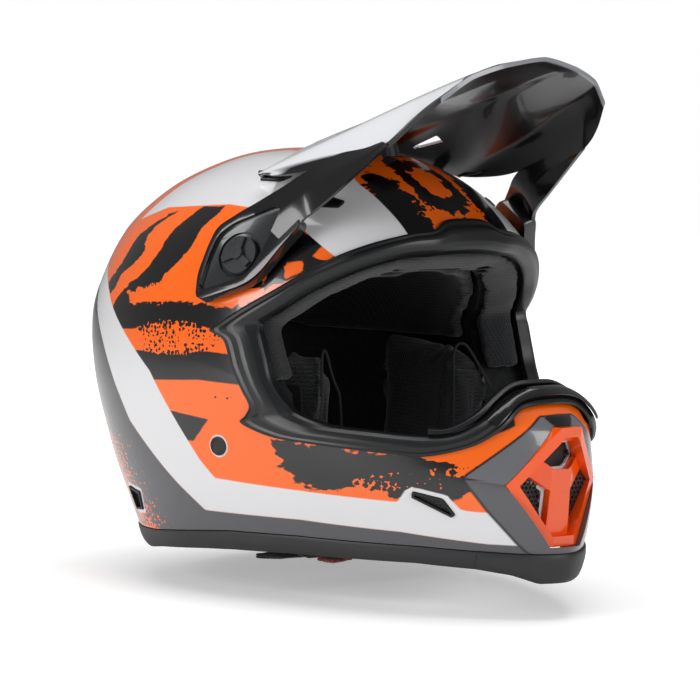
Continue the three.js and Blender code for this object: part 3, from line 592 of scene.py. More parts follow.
def paint(obj):
    at = where(obj)
    bearing = abs(np.degrees(np.arctan2(at[:, 0], -at[:, 1])))
    flat = np.stack([bearing, at[:, 2]], -1) * SCALE
    black, tear = union(flat, BLACK_MARKS)
    orange, tear_over = union(flat, ORANGE_MARKS)
    white = np.max([within(flat, mark) for mark in WHITE_MARKS], 0)
    crown = np.minimum(abs(at[:, 0]) - np.interp(at[:, 1], *STRIPE_EDGE.T),
                       at[:, 2] - np.interp(bearing, *WHITE_LOW.T))
    white = np.maximum(white, crown)
    mirrored = np.hstack([abs(at[:, :1]), at[:, 1:]])
    for degrees, height, outline in (VENTS["side_vent"], VENTS["rear_vent"]):
        origin, across, up, _ = face_basis(degrees, height)
        local = mirrored - origin
        d = inside(np.stack([local @ across, local @ up], -1), outline)
        near = np.linalg.norm(local, axis=1) < VENT_REACH
        white = np.maximum(white, np.where(near, d + VENT_RING, FAR))
    rivet = shell_at(np.float64(RIVET[0]), level_at(RIVET[1]))
    ring = RIVET_RING - np.linalg.norm(mirrored - rivet, axis=1)
    white = np.maximum(white, ring)
    fleck = np.zeros(len(at))
    for place, height, reach, strength in SPECKLE:
        gap = np.hypot((bearing - place) * DEGREE, (at[:, 2] - height) * FLECK_RISE)
        fleck = np.maximum(fleck, strength * np.clip(1.9 - 1.4 * gap / reach, 0, 1))
    put(obj, "panel", within(flat, PANEL))
    split = at[:, 2] - np.interp(bearing, *np.array(FACET_SPLIT, float).T)
    # which side of the facets' split a point lies on; the upper side gets the painted reflection
    put(obj, "upper_facet", split)
    lines = np.minimum(0.6 - abs(split), 17.5 - bearing)
    top = within(flat, PANEL_TOP)
    put(obj, "panel_lines", np.maximum(np.where(at[:, 1] < 0, lines, FAR), top))
    put(obj, "black", black)
    put(obj, "orange", orange)
    put(obj, "white", white)
    put(obj, "lower", within(flat, LOWER))
    put(obj, "tear", np.maximum(tear, np.where(orange > -6, tear_over, 0)) * TEAR_GAIN)
    put(obj, "fleck", fleck * FLECK_GAIN)
    put(obj, "fade", np.clip((at[:, 2] - FADE_FROM) / FADE_OVER, 0, 1))
    band = DUST_HALF - abs(bearing - np.interp(at[:, 2], *DUST_PATH)) * DUST_FALL
    thin = np.clip((at[:, 2] - FADE_FROM) * DUST_THIN, 0, 60)
    put(obj, "dust", np.maximum(band - thin, FAR))


# ---- eyeport

PORT = np.array([
    [0, 200, 0, 184.5], [7, 199, 7, 184], [11.5, 194, 12, 183], [18, 192, 20, 181.5], [28, 187, 29, 176],
    [37, 180, 37, 169], [45, 171, 44.5, 161], [52.5, 161, 50.5, 152], [62, 149, 55, 145.5],
    [68.5, 140, 57, 142.5], [71, 136, 57.2, 139], [66.5, 131, 56.6, 134], [64, 116, 55, 122],
    [61, 104, 53.5, 110], [58.8, 95, 51, 100.5],
    [60, 89, 49, 95.5], [61.3, 84.5, 47, 91.5], [53, 78, 41, 86.5], [44, 75.5, 36, 85], [35, 73.5, 30.5, 84],
    [28, 72, 26, 83], [22, 71, 21.5, 82.7], [15, 77, 17.5, 84.5], [10.5, 86, 13.3, 92], [6.8, 95.5, 9.3, 101.5],
    [3.5, 98, 5, 107.5], [0, 98.5, 0, 108.5]], float)
OTHER = np.array([-1, 1, -1, 1.0])
PORT_RING = np.vstack([PORT, PORT[-2:0:-1] * OTHER])


def smooth_ring(table, steps):
    """A closed table of stations, filled in with smooth steps between them."""
    k = len(table)
    wide = np.vstack([table[-2:], table, table[:3]])
    return rows(wide, 2 + np.arange(k * steps) / steps)


def port_points(stations, profile):
    out = []
    for f, depth in profile:
        degrees = stations[:, 0] * (1 - f) + stations[:, 2] * f
        height = stations[:, 1] * (1 - f) + stations[:, 3] * f
        out.append(skin(degrees, height, depth))
    return np.stack(out, 1)


PLUG_SHARE = 0.42  # where the shell's cut lies between the port's outer line and its inner one
PLUG_DEPTHS = -14, 52
PLUG_TIPS = [[0, -270, 135], [0, -20, 140]]  # the plug closes to these points in front and behind


def port_plug():
    ring = smooth_ring(PORT_RING, 4)
    front, back = (port_points(ring, [(PLUG_SHARE, depth)])[:, 0] for depth in PLUG_DEPTHS)
    k = len(front)
    points = np.vstack([front, back, PLUG_TIPS])
    faces = []
    for i in range(k):
        j = (i + 1) % k
        faces += [[i, j, 2 * k], [k + i, k + j, 2 * k + 1], [i, j, k + j, k + i]]
    return new("port_plug", points, faces, None, None)


MOUTH = [(8, 88), (36, 56), (12, 20.5), (-12, 20.5), (-36, 56), (-8, 88)]
VENTS = {
    "side_vent": (20.3, 44.8, [(12.5, 7), (-5, 3.4), (-12, -5.8), (-9.5, -7.6), (13.2, 3.2)]),
    "rear_vent": (112, 29, [(-9, 7), (9, 9), (6, -6), (-6, -5)]),
    "crown_vent": (62, 223, [(-11, 2), (-3, 6), (11, 5), (9, -3), (-6, -4)]),
    "brow_vent": (39, 209, [(-9, 2), (-2, 5), (9, 4), (7, -3), (-6, -3.5)]),
}


SHELL_WALL = 3.5
SHELL_EDGE = 0.35  # gap between the shell's rim and the trim's seam
CROWN_LEVEL = 17.86  # the last ring before the crown's tip
CROWN_TIP = 241.5


def build_shell():
    around, up = 300, 120
    degrees = np.arange(around) * 360 / around
    turn = abs((degrees + 180) % 360 - 180)
    low = level_at(np.interp(turn, RIM[:, 0], RIM[:, 2]) + SHELL_EDGE)
    points = []
    for depth in (0, SHELL_WALL):
        for i in range(up):
            f = i / (up - 1)
            level = low + (CROWN_LEVEL - low) * f
            out = normal_at(degrees, level)
            points.append(shell_at(degrees, level) - out * depth)
    points = np.array(points).reshape(-1, 3)
    faces = strip((up, around), loop_u=True) + strip((up, around), loop_u=True, start=up * around)
    half = up * around
    faces += [[j, (j + 1) % around, half + (j + 1) % around, half + j] for j in range(around)]
    tip = half - around
    points = np.vstack([points, [[0, 0, CROWN_TIP], [0, 0, CROWN_TIP - SHELL_WALL]]])
    for j in range(around):
        k = (j + 1) % around
        faces += [[tip + j, tip + k, 2 * half], [half + tip + j, half + tip + k, 2 * half + 1]]
    obj = new("shell", points, faces, shell_paint())
    mouth = prism("mouth", MOUTH, -240, -170, ((0, 0, 0), (1, 0, 0), (0, 0, 1), (0, 1, 0)))
    tools = [port_plug(), mouth]
    for degrees, height, outline in VENTS.values():
        for side in (1, -1):
            shape = [(side * x, y) for x, y in outline][::side]
            tools.append(prism("hole", rounded(shape, 1.6), -9, 12, face_basis(side * degrees, height)))
    cut(obj, *tools)
    paint(obj)
    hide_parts("outer_shell")


GASKET = [(0, -1.4), (0.02, -2.5), (0.14, -3.3), (0.24, -2.9), (0.3, -3.1), (0.42, -4.0), (0.55, -3.9),
          (0.78, -2.2), (0.93, -0.4), (1, 1.2), (1, 7.6), (0.8, 8.6), (0.68, 8), (0.66, -1.6)]


def build_gasket(material):
    ring = smooth_ring(PORT_RING, 6)
    sections = port_points(ring, rounded(GASKET, 0.05, 3))
    obj = sweep("eyeport_seal", sections, material, ring=True)
    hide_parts("eyeport_gasket")


def half_loop(count, steps, low=False):
    part = PORT[-count:] if low else PORT[:count]
    both = np.vstack([part * OTHER, part[-2::-1]]) if low else np.vstack([part[:0:-1] * OTHER, part])
    return rows(both, np.linspace(0, len(both) - 1, (len(both) - 1) * steps + 1))


NOSE_GUARD = [(1.06, -2), (1.28, -1.5), (1.44, 2), (1.44, 8), (1.3, 17), (1.1, 16), (1.08, 3)]
NOSE_PANEL = [(0.2, -4.9), (0.2, -6.1), (0.5, -6.3), (0.75, -5.2), (0.75, -4)]


def build_nose(satin, black):
    for name, node, profile, count, material, slot in (
            ("nose_hood", "nose_guard", NOSE_GUARD, 6, satin, "gasket_rubber"),
            ("nose_plate", "nose_panel", NOSE_PANEL, 4, black, "gloss_black")):
        stations = half_loop(count, 8, low=True)
        obj = sweep(name, port_points(stations, rounded(profile, 2.0, 4)), material)
        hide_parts(node)


def build_trims(material):
    for name, node, start, end, proud, count in (("rim_trim", "base_trim", 13.12, 346.88, 1.2, 220),
                                                 ("chin_trim_cap", "chin_trim", -13.1, 13.1, 2.2, 40)):
        sections = []
        for degrees in np.linspace(start, end, count):
            turn = abs((degrees + 180) % 360 - 180)
            under, seam = (np.interp(turn, RIM[:, 0], RIM[:, k]) for k in (1, 2))
            profile = [(0, under), (-proud, under + 2.5), (-proud - 0.3, (under + seam) / 2),
                       (-proud, seam - 3), (-proud * 0.6, seam), (4.6, seam), (5.2, under + 2), (5, under)]
            profile = rounded(profile, 1.0, 3)
            sections.append(skin(degrees, profile[:, 1], profile[:, 0], flat=True))
        obj = sweep(name, sections, material)
        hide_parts(node)


# ---- visor

VISOR_RAILS = [
    [[0, -186, 292.6], [0, -168, 288.2], [0, -145, 281.5], [0, -118, 273.2], [0, -92, 265.2], [0, -66, 257.6],
     [0, -43, 250.9], [0, -22, 244.6]],
    [[29, -183, 288], [30, -165.5, 284.4], [30, -143.5, 278], [30, -117, 269.7], [30, -91.5, 261.6],
     [30, -66, 254.3], [30, -43.5, 248.1], [30, -24, 242.6]],
    [[50, -178.5, 281.2], [56.5, -163, 274.5], [62, -143, 266.5], [69, -116, 255.5], [74, -91, 245.8],
     [77, -66, 237], [79, -48, 230.6], [80, -37, 226.6]],
    [[65, -172, 270], [75, -158.5, 256.5], [80, -143, 243], [82, -121, 236.5], [83, -98, 231.5],
     [83.5, -76, 226.8], [82.5, -55, 225], [81, -38, 224.6]]]
ARM_RAILS = [
    [[79.5, -139, 244.5], [80, -124, 240.5], [80.5, -107, 238], [83, -93, 232.5], [87.5, -81, 225.5],
     [93.5, -71, 218], [104, -55, 206.5]],
    [[80.5, -141.5, 244], [82.7, -128, 236.5], [84.5, -114, 231], [87, -100.5, 224], [90.3, -88.5, 216],
     [95.8, -81, 209.5], [104.5, -69.5, 197]],
    [[80, -144, 242.5], [83, -131, 232.5], [85.5, -120, 224], [88, -108, 214.5], [91, -96, 205.5],
     [95, -90, 199.5], [102, -83, 187]]]
POD = [(36, 24.5), (27, 9), (19.5, -6.5), (14.5, -13.5), (8, -18.5), (-6, -25.7), (-18, -31), (-21.8, -16),
       (-20.6, 2), (-18.5, 13.5), (-3, 27), (12, 37)]
POD_RECESS = [(20.5, 29), (17, 10), (14, -1), (11, -9.5), (4, -15), (-16, -25), (-18.6, -22), (-18, -4),
              (-16, 9.5), (-8, 17.5), (16, 31)]
PIVOT = (113.7, -56.7, 180.7)
SCREW_Y = -53
CREASE = 0.35  # share of straight lines between the blade's rails, against a smooth curve
SAG = [0, 24, 29, 36, 90], [1.1, 1.1, 0, 0, 0]
VISOR_WALL = 2.4
EDGE_HIGHLIGHT_Y = -184.6  # back of the painted highlight, a pale strip along the blade's front edge
POD_THICK, RECESS_DEPTH, WELL_DEPTH = 8.3, 3.2, 5.4
WELL_RADIUS, BORE_RADIUS = 13.6, 5.4
SLOT_RADIUS, SLOT_LENGTH = 3.7, 16.5


def sheet(name, grid, wall, material, body="visor"):
    """A closed sheet: a grid of points, and the same grid a wall's thickness behind it."""
    m, k = grid.shape[:2]
    du, dv = np.gradient(grid, axis=1), np.gradient(grid, axis=0)
    out = np.cross(du, dv)
    out /= np.linalg.norm(out, axis=-1, keepdims=True)
    points = np.vstack([grid.reshape(-1, 3), (grid - out * wall).reshape(-1, 3)])
    faces = strip((m, k)) + strip((m, k), start=m * k)
    at = lambda i, j: i * k + j
    edge = [at(0, j) for j in range(k - 1)] + [at(i, k - 1) for i in range(m - 1)]
    edge += [at(m - 1, j) for j in range(k - 1, 0, -1)] + [at(i, 0) for i in range(m - 1, 0, -1)]
    for a, b in zip(edge, edge[1:] + edge[:1]):
        faces.append([a, b, b + m * k, a + m * k])
    return new(name, points, faces, material, body)


def blade_grid():
    """Points over the visor's blade: the rails are joined straight, with a soft crease at each."""
    rails = np.array(VISOR_RAILS, float)
    full = np.vstack([rails[:0:-1] * [-1, 1, 1], rails])
    along = np.linspace(0, 7, 71)
    lines = np.array([rows(rail, along) for rail in full])
    places = np.concatenate([np.linspace(i, i + 1, 13)[:-1] for i in range(6)] + [[6.0]])
    left = np.minimum(places.astype(int), 5)
    share = (places - left)[:, None, None]
    straight = (lines[left] * (1 - share) + lines[left + 1] * share).transpose(1, 0, 2)
    curved = np.array([rows(lines[:, j], places) for j in range(71)])
    grid = CREASE * straight + (1 - CREASE) * curved
    sag = np.interp(abs(grid[:, :, 0]), *SAG)
    grid[:, :, 2] += sag * np.clip(along / 0.7, 0, 1)[:, None]
    return grid


def pod_basis(side):
    out = np.array([0.889 * side, -0.293, 0.353])
    out /= np.linalg.norm(out)
    forward = np.array([0, -1.0, 0]) + out * out[1]
    forward /= np.linalg.norm(forward)
    up = np.cross(forward, out) if side > 0 else np.cross(out, forward)
    return np.array([PIVOT[0] * side, PIVOT[1], PIVOT[2]]), forward, up, out


def pod_hollows(basis, top):
    """Tools for a pod's recess and the well of its knob."""
    return (prism("recess", rounded(POD_RECESS, 4, 5), -RECESS_DEPTH, top, basis),
            prism("well", circle(WELL_RADIUS, 48), -WELL_DEPTH, top, basis))


def visor_material():
    n = Nodes("visor_gloss", 0.2, coat=0.5)
    white = step(n, n.attribute("white"), 0.3)
    # lip: a painted highlight, pale grey along the blade's front edge
    lip = step(n, n.attribute("lip"), 0.3)
    speck = n.math("SUBTRACT", n.noise(170, 4, (1, 0.5, 1), 0.8), 0.52)
    marks = step(n, n.math("ADD", n.math("MULTIPLY", speck, 30.0), n.attribute("mark")))
    base = n.mix(n.noise(40, 3), rgb("0a090b"), rgb("121114"))
    base = n.mix(marks, base, rgb("8c2c0a"))
    base = n.mix(n.attribute("recess"), base, rgb("26282b"))
    base = n.mix(white, base, rgb("e6e7ea"))
    n.colour(n.mix(lip, base, rgb("8f9296")))
    n.rough(n.noise(50, 4), 0.16, 0.25)
    n.bump(n.noise(300, 2), 0.03, 0.0004)
    return n.material


def build_visor():
    material = visor_material()
    grid = blade_grid()
    blade = sheet("visor_shell", grid, VISOR_WALL, material)
    slot = [(x, y + SCREW_Y + (SLOT_LENGTH if y > 0 else 0)) for x, y in circle(SLOT_RADIUS, 24)]
    gap = [(36, -64), (46, -60), (43, -42), (38, -40)]
    level = ((0, 0, 0), (1, 0, 0), (0, 1, 0), (0, 0, 1))
    tools = [prism("slot", slot, 200, 300, level)]
    tools += [prism("gap", rounded([(s * x, y) for x, y in gap], 2), 200, 300, level) for s in (1, -1)]
    cut(blade, *tools)
    parts = [blade]
    for side in (1, -1):
        rails = np.array(ARM_RAILS, float) * [side, 1, 1]
        along = np.linspace(0, 6, 61)
        lines = np.array([rows(rail, along) for rail in rails])
        across = np.linspace(0, 2, 17)
        arm = np.array([0.5 * np.array([np.interp(across, [0, 1, 2], lines[:, j, k]) for k in range(3)]).T
                        + 0.5 * rows(lines[:, j], across) for j in range(61)])
        basis = pod_basis(side)
        plate = sheet("arm", arm, VISOR_WALL * side, material)  # mirrored, so the wall's sign turns too
        cut(plate, *pod_hollows(basis, 12))
        parts.append(plate)
        pod = prism("pod", rounded(POD, 5, 5), -POD_THICK, 0, basis, material, "visor")
        cut(pod, *pod_hollows(basis, 5), prism("bore", circle(BORE_RADIUS, 24), -20, 5, basis))
        bevelled(pod, 0.0009)
        settle(pod)
        tidy(pod)
        parts.append(pod)
    for part in parts:
        at = where(part)
        if part is blade:
            put(part, "recess", np.zeros(len(at)))
            x, y = abs(at[:, 0]), at[:, 1]
            lines = np.array(VISOR_RAILS, float)
            strip_edge = np.interp(y, lines[1][:, 1], lines[1][:, 0])
            start = np.interp(y, [-178, -168, -150], [58, 44, 30])
            outer = np.interp(y, [-186, -170, -158, -143, -22], [40, 62, 72, 79, 84])
            white = np.minimum(x - np.maximum(strip_edge - 1, start), outer - x)
            normal = np.empty(at.size)
            part.data.vertex_normals.foreach_get("vector", normal)
            normal = normal.reshape(-1, 3)
            outside = 0.8 * normal[:, 2] + 0.6 * normal[:, 0] * np.sign(at[:, 0]) > 0.1
            put(part, "white", np.where(outside, white, -10))
            # the lip's painted highlight runs from the front edge back to here
            front = EDGE_HIGHLIGHT_Y + np.interp(x, [0, 29, 50, 65], [0, 3, 7.5, 14])
            put(part, "lip", np.where(y < -165, front - y - 0.2, -10))
            put(part, "mark", np.where((x < 27) & (y > -150) & outside, 0.0, -30))
        else:
            for key in ("white", "lip", "mark"):
                put(part, key, np.full(len(at), -30.0))
            middle, _, _, out = pod_basis(1 if at[:, 0].mean() > 0 else -1)
            put(part, "recess", np.clip(-1.5 - (at - middle) @ out, 0, 1) * (part.name[:3] == "pod"))
    joined(parts)
    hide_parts("visor")


# ---- padding

PRESSURE, SIM_FRAMES = 4.0, 20


def swell(obj, voxel, cap, shrink=0.0, smooth=4, sim=True):
    """Puffs a soft piece with a short cloth simulation and applies it."""
    if shrink:
        modified(obj, "DISPLACE", strength=-shrink, mid_level=0.0)
        settle(obj)
    modified(obj, "REMESH", mode="VOXEL", voxel_size=voxel)
    modified(obj, "SMOOTH", factor=0.5, iterations=smooth)
    settle(obj)
    if sim:
        count = len(obj.data.vertices)
        before = np.empty(count * 3)
        obj.data.vertices.foreach_get("co", before)
        cloth = obj.modifiers.new("cloth", "CLOTH")
        cloth.settings.use_pressure = True
        cloth.settings.uniform_pressure_force = PRESSURE
        cloth.settings.effector_weights.gravity = 0
        cloth.settings.quality = 4
        cloth.point_cache.frame_start, cloth.point_cache.frame_end = 1, SIM_FRAMES
        for number in range(1, SIM_FRAMES + 1):
            SCENE.frame_set(number)
        graph = bpy.context.evaluated_depsgraph_get()
        after = np.empty(count * 3)
        obj.evaluated_get(graph).data.vertices.foreach_get("co", after)
        obj.modifiers.remove(cloth)
        SCENE.frame_set(1)
        move = (after - before).reshape(-1, 3)
        far = np.linalg.norm(move, axis=1, keepdims=True)
        move *= np.minimum(1, cap / np.maximum(far, 1e-9))
        obj.data.vertices.foreach_set("co", (before.reshape(-1, 3) + move).ravel())
    modified(obj, "SUBSURF", levels=1, render_levels=1)
    settle(obj)
    obj.data.shade_smooth()


def tube(name, path, radius, material, sides=10):
    """A round cord along a path, in millimetres from the crown's axis."""
    path = np.asarray(path, float)
    tangent = np.gradient(path, axis=0)
    tangent = unit(tangent)
    guide = np.array([0.0, 0.0, 1.0]) if abs(tangent[:, 2]).mean() < 0.7 else np.array([1.0, 0.0, 0.0])
    side = np.cross(tangent, guide)
    side = unit(side)
    up = np.cross(side, tangent)
    turn = 2 * np.pi * np.arange(sides) / sides
    sections = [p + radius * (np.cos(turn)[:, None] * s + np.sin(turn)[:, None] * u)
                for p, s, u in zip(path, side, up)]
    return sweep(name, sections, material)


PIPING_BEARING, PIPING_RADIUS = 47.6, 0.9


def build_padding(side_knit, liner_knit, rib_knit, edge):
    for name, side in SIDES:
        pad = copy_of("cheek_cushion_" + name, "cheek_pad_" + name, side_knit)
        swell(pad, 0.0042, 0.004, shrink=0.0018)
        heights = [(37.5, 98), (43.5, 118), (49.5, 129.5), (56.5, 126.5), (60.6, 104), (60.6, 80), (58.6, 34),
                   (50, 12)]
        path = rows(np.array(heights, float), np.linspace(0, 7, 57))
        line = skin(side * PIPING_BEARING, path[:, 1], path[:, 0] - 0.2)
        seam = tube("cheek_piping_" + name, line, PIPING_RADIUS, edge)
    liner = copy_of("crown_cushion", "crown_liner", liner_knit)
    swell(liner, 0.0045, 0.003, shrink=0.001, sim=False, smooth=8)
    lip = copy_of("brow_cushion", "brow_lip", rib_knit)
    swell(lip, 0.0024, 0.002, sim=False, smooth=5)
    roll = copy_of("neck_cushion", "neck_roll", side_knit)
    swell(roll, 0.0045, 0.004, shrink=0.0018)


# ---- straps

LONG_STRAP = [(98, 64), (95.8, 48), (92, 30), (89, 19), (84, 9.5), (74, 5.2), (50, 3.8), (0, 3.2),
              (-40, 3.2), (-76, 3.4)]
SHORT_STRAP = [(-98, 64), (-95.8, 48), (-92, 30), (-89, 19), (-84, 10.5), (-74, 7.4), (-56, 8.6),
               (-43, 11.2), (-39.9, 13.4), (-38.4, 16), (-35, 16.3), (-32, 15), (-31.4, 12), (-32, 8.8),
               (-35, 7.8), (-41, 8.2), (-52, 6.6)]
LONG_STRAP_Y, SHORT_STRAP_Y = -46, -12
STRAP_HALF, STRAP_THICK = 12, 1.6
BOX_Z, SEAM_Z, TAG_Z = 9.9, 4.95, 5.7  # heights of the box stitch, the loops' seams and the care tag


def strap_piece(name, path, y, material, node, tip=0):
    """Woven webbing along a path, with thick selvedges and an even weave between."""
    steps = 8 * (len(path) - 1) + 1
    line = rows(np.array(path, float), np.linspace(0, len(path) - 1, steps))
    tangent = np.gradient(line, axis=0)
    tangent /= np.linalg.norm(tangent, axis=1, keepdims=True)
    normal = np.stack([-tangent[:, 1], tangent[:, 0]], -1)
    across = np.linspace(-1, 1, 17)
    edge = np.sqrt(np.clip(1 - across ** 10, 0.02, 1))
    bulge = STRAP_THICK / 2 * np.where(abs(across) > 0.82, 1.0, 0.82) * edge
    ring_y = np.concatenate([across, across[::-1]])
    ring_t = np.concatenate([bulge, -bulge[::-1]])
    sections = []
    for i, (p, n) in enumerate(zip(line, normal)):
        ripple = 0.25 * math.sin(i * 0.9) * np.sin(ring_y * 2.2)
        pull = tip * max(0, (i - steps + 5) / 4)
        x = p[0] + n[0] * (ring_t + ripple) - pull * (1 - ring_y ** 2)
        z = p[1] + n[1] * (ring_t + ripple)
        sections.append(np.stack([x, y + STRAP_HALF * ring_y, z], -1))
    obj = sweep(name, sections, material)
    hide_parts(node)
    return obj


STITCH_PITCH = 2.4


def stitches(name, corners, z, thread):
    """Short raised stitches round an outline at a height."""
    loops = []
    corners = np.array(corners, float)
    for a, b in zip(corners, np.roll(corners, -1, axis=0)):
        count = max(2, int(np.linalg.norm(b - a) / STITCH_PITCH))
        for k in range(count):
            start, end = a + (b - a) * (k + 0.15) / count, a + (b - a) * (k + 0.85) / count
            middle = (start + end) / 2
            path = [[*start, z - 0.2], [*middle, z + 0.25], [*end, z - 0.2]]
            loops.append(tube(name, path, 0.3, thread, sides=6))
    joined(loops)
    return loops[0]


RIVET_HEAD, RIVET_WELL = 5.5, 4.1


def build_rivets(material):
    for name, side in SIDES:
        basis = face_basis(side * RIVET[0], RIVET[1])
        cap = prism("rivet_cap_" + name, circle(RIVET_HEAD, 40), -3, 0.9, basis, material, "helmet")
        cut(cap, prism("well", circle(RIVET_WELL, 32), 0.4, 4, basis))
        bevelled(cap, 0.0004)
        settle(cap)
        tidy(cap)
        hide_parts("strap_rivet_" + name)


def build_straps(strap, red, label, thread):
    strap_piece("long_strap_webbing", LONG_STRAP, LONG_STRAP_Y, strap, "strap_left", tip=9)
    strap_piece("short_strap_webbing", SHORT_STRAP, SHORT_STRAP_Y, strap, "strap_right")
    box = [(-52, -21), (-43.5, -21), (-43.5, -3), (-52, -3)]
    stitches("strap_stitches", box, BOX_Z, thread)
    for name, side in SIDES:
        tab = copy_of("pull_loop_" + name, "pull_tab_" + name, red)
        modified(tab, "REMESH", mode="VOXEL", voxel_size=0.0007)
        modified(tab, "SMOOTH", factor=0.5, iterations=3)
        settle(tab)
        tab.data.shade_smooth()
        seam = [(side * x, y) for x, y in ((61, -94), (73, -96), (74, -89), (62.5, -86.5))]
        stitches("pull_stitches_" + name, seam, SEAM_Z, thread)
    tag = np.array([[(-74, -76), (-62, -80)], [(-70, -62), (-58, -66)]], float)
    span = np.linspace(0, 1, 13)
    grid = []
    for v in span:
        ends = tag[0] * (1 - v) + tag[1] * v
        grid.append([[*(ends[0] * (1 - u) + ends[1] * u), TAG_Z + 0.2 * math.sin(4 * u + 2 * v)] for u in span])
    grid = np.array(grid)
    cloth = sheet("care_tag", grid, 0.5, label, "helmet")
    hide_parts("care_label")


# ---- screens

SCREEN_Y, SCREEN_SHARE, SCREEN_LIFT = -196.6, 0.86, 7.6
LATTICE_DEPTH, LATTICE_SHARE = 1.4, 0.88


def hex_screen(name, outline, basis, pitch, bar, thick, material):
    """A thin lattice of hexagonal holes inside an outline."""
    origin, x, y, z = (np.asarray(v, float) for v in basis)
    flat = np.asarray(outline, float)
    low, high = flat.min(0), flat.max(0)
    points, faces = [], []
    outer, inner = pitch / math.sqrt(3), (pitch - bar) / math.sqrt(3)
    turn = np.radians(30 + 60 * np.arange(6))
    ring = np.stack([np.cos(turn), np.sin(turn)], -1)
    row_gap = pitch * math.sqrt(3) / 2
    for r in range(int((high[1] - low[1]) / row_gap) + 1):
        for c in range(int((high[0] - low[0]) / pitch) + 1):
            centre = low + [pitch * (c + 0.5 * (r % 2)), row_gap * r]
            if inside(centre[None], flat)[0] < -0.2 * pitch:
                continue
            start = len(points)
            for depth in (0, -thick):
                for radius in (outer, inner):
                    for p in ring * radius + centre:
                        points.append(origin + p[0] * x + p[1] * y + depth * z)
            for k in range(6):
                j = (k + 1) % 6
                for near, far in ((0, 6), (18, 12), (6, 18)):
                    faces.append([start + near + k, start + near + j, start + far + j, start + far + k])
    obj = new(name, points, faces, material)


# ---- making it all

def build():
    satin = moulded("gasket_satin", "131416", 0.3, 1100, 0.05)
    trim = moulded("trim_matte", "262628", 0.45, 700, 0.1)
    foam = Nodes("impact_foam", 0.9)
    foam.colour(foam.mix(foam.cells(300), rgb("141516"), rgb("242628")))
    foam.bump(foam.cells(300), 0.4, 0.0008)
    mouth = gloss("mouth_orange", "ff5a0a", 0.2)
    white = gloss("white_gloss", "e9e9ec", 0.25)
    black = gloss("gloss_black", "0b0a0c", 0.2)
    screw = moulded("screw_black", "222427", 0.28, 900, 0.05)
    mesh_black = moulded("mesh_black", "101011", 0.45, 900, 0.1)
    steel = Nodes("polished_steel", 0.22, metal=1.0)
    steel.colour(steel.mix(steel.noise(80, 3), rgb("b9babd"), rgb("8f9195")))
    steel.rough(steel.noise(300, 2, (1, 1, 6)), 0.18, 0.3)
    side_knit = knit("side_knit", "15171a", "020203", 0.0046, "YX")
    liner_knit = knit("liner_knit", "090a0c", "020203", 0.0036, strength=0.5)
    rib_knit = knit("rib_knit", "14161a", "030304", 0.0034, strength=0.6)
    edge = moulded("piping", "1a1b1e", 0.8, 1500, 0.3)
    strap = webbing("strap_webbing", "141417")
    red = webbing("red_webbing", "8a1712")
    label = webbing("label_cloth", "7a5e44")
    thread = moulded("stitch_thread", "3a3a3e", 0.7, 1800, 0.4)

    build_shell()
    build_gasket(satin)
    build_trims(trim)
    build_nose(satin, black)
    build_visor()
    build_padding(side_knit, liner_knit, rib_knit, edge)
    build_straps(strap, red, label, thread)
    build_rivets(moulded("rivet_black", "1c1816", 0.3, 900, 0.08))

    vents = [kind + side for kind in VENTS for side in ("_left", "_right")]
    for material, nodes in (
            (foam.material, ("crown_foam", "chin_foam")),
            (trim, ("cheek_pad_base_left", "cheek_pad_base_right")),
            (mouth, ("mouthpiece_cover",)),
            (white, ("mouthpiece_bezel",)),
            (screw, ("visor_screw_left", "visor_screw_right", "visor_center_screw", "visor_center_boss")),
            (steel.material, ("d_ring_lower", "d_ring_upper")),
            (mesh_black, ["mouthpiece_screen"] + vents)):
        for node in nodes:
            for place in NODES[node].material_slots:
                place.material = material
    for node in ("mouthpiece_cover", "mouthpiece_bezel", "visor_screw_left", "visor_screw_right",
                 "visor_center_screw", "d_ring_lower", "d_ring_upper"):
        bevelled(NODES[node], 0.0006, angle=30)

    sheet_basis = ((0, SCREEN_Y, 0), (1, 0, 0), (0, 0, 1), (0, -1, 0))
    lattice = Nodes("lattice", 0.4, specular=0.5)
    lattice.colour(lattice.mix(lattice.noise(200, 2), rgb("1c1c1e"), rgb("2b2b2d")))
    shape = np.array(MOUTH, float) * SCREEN_SHARE + [0, SCREEN_LIFT]
    hex_screen("mouth_lattice", shape, sheet_basis, 3.0, 0.9, 0.6, lattice.material)
    for kind, (degrees, height, outline) in VENTS.items():
        for name, side in SIDES:
            origin, across, up, out = face_basis(side * degrees, height)
            shape = np.array(outline, float) * [side * LATTICE_SHARE, LATTICE_SHARE]
            basis = (origin - LATTICE_DEPTH * out, across, up, out)
            hex_screen(kind + "_lattice_" + name, shape[::side], basis, 2.3, 0.8, 0.5, lattice.material)


WORLD_GLOW = 0.22  # what the white room around gives the helmet
FLOOR_GLOW = 0.12  # and the floor
FLOOR_HALF, FLOOR_Z = 6, -0.02  # in metres; the floor lies a little under the rim


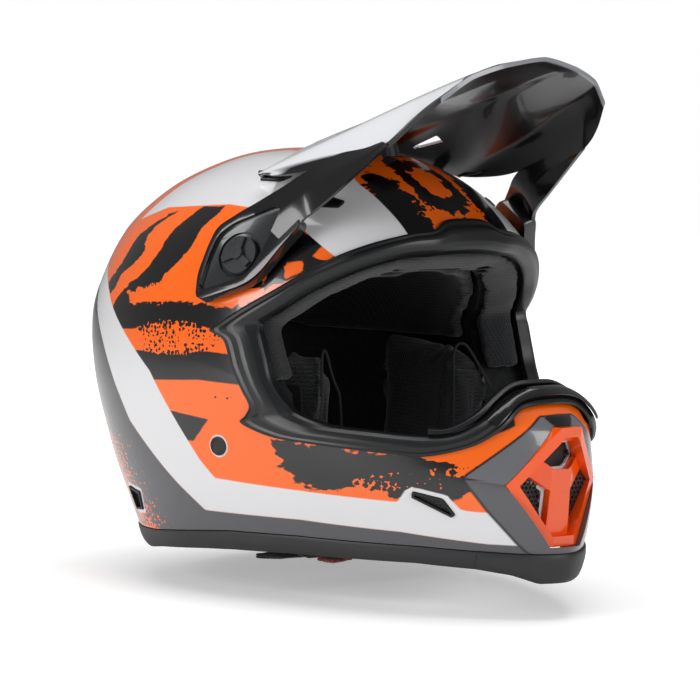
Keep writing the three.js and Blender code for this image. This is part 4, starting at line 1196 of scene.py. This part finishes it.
def add_stage():
    floor = bpy.data.meshes.new("floor")
    corners = [(x * FLOOR_HALF, y * FLOOR_HALF, FLOOR_Z) for x, y in ((-1, -1), (1, -1), (1, 1), (-1, 1))]
    floor.from_pydata(corners, [], [[0, 1, 2, 3]])
    obj = bpy.data.objects.new("floor", floor)
    SCENE.collection.objects.link(obj)
    n = Nodes("floor_pale", 1.0, specular=0.0)
    n.colour(n.mix(n.noise(3, 2), (0.9, 0.9, 0.9, 1), (0.92, 0.92, 0.92, 1)))
    n.set(n.shader, {"Emission Color": (1, 1, 1, 1)})
    away = n.add("ShaderNodeVectorMath", operation="LENGTH")
    n.join(n.coords(), away.inputs[0])
    glow = n.add("ShaderNodeMapRange", interpolation_type="SMOOTHSTEP")
    n.set(glow, {"From Min": 0.2, "From Max": 0.75, "To Min": 0.36, "To Max": 1.0})
    n.join(away.outputs["Value"], glow.inputs["Value"])
    seen = n.add("ShaderNodeLightPath").outputs["Is Camera Ray"]
    dim = n.math("ADD", n.math("MULTIPLY", seen, 1 - FLOOR_GLOW), FLOOR_GLOW)
    n.join(n.math("MULTIPLY", glow.outputs[0], dim), n.shader.inputs["Emission Strength"])
    floor.materials.append(n.material)
    world = bpy.data.worlds.new("studio")
    world.use_nodes = True
    tree = world.node_tree
    paths = tree.nodes.new("ShaderNodeLightPath")
    level = tree.nodes.new("ShaderNodeMapRange")
    level.inputs["To Min"].default_value = WORLD_GLOW
    level.inputs["To Max"].default_value = 1.0
    tree.links.new(paths.outputs["Is Camera Ray"], level.inputs["Value"])
    tree.links.new(level.outputs[0], tree.nodes["Background"].inputs[1])
    tree.nodes["Background"].inputs[0].default_value = (1, 1, 1, 1)
    SCENE.world = world
    SCENE.view_settings.view_transform = "Standard"
    add_light("softbox_left", (-1.9, 0.1, 0.55), 0.7, 17, tall=1.2)
    add_light("softbox_top", (0.1, 0.1, 1.8), 1.6, 24)
    add_light("softbox_front", (0.3, -2.2, 0.7), 1.0, 14)


add_camera()
add_stage()
build()
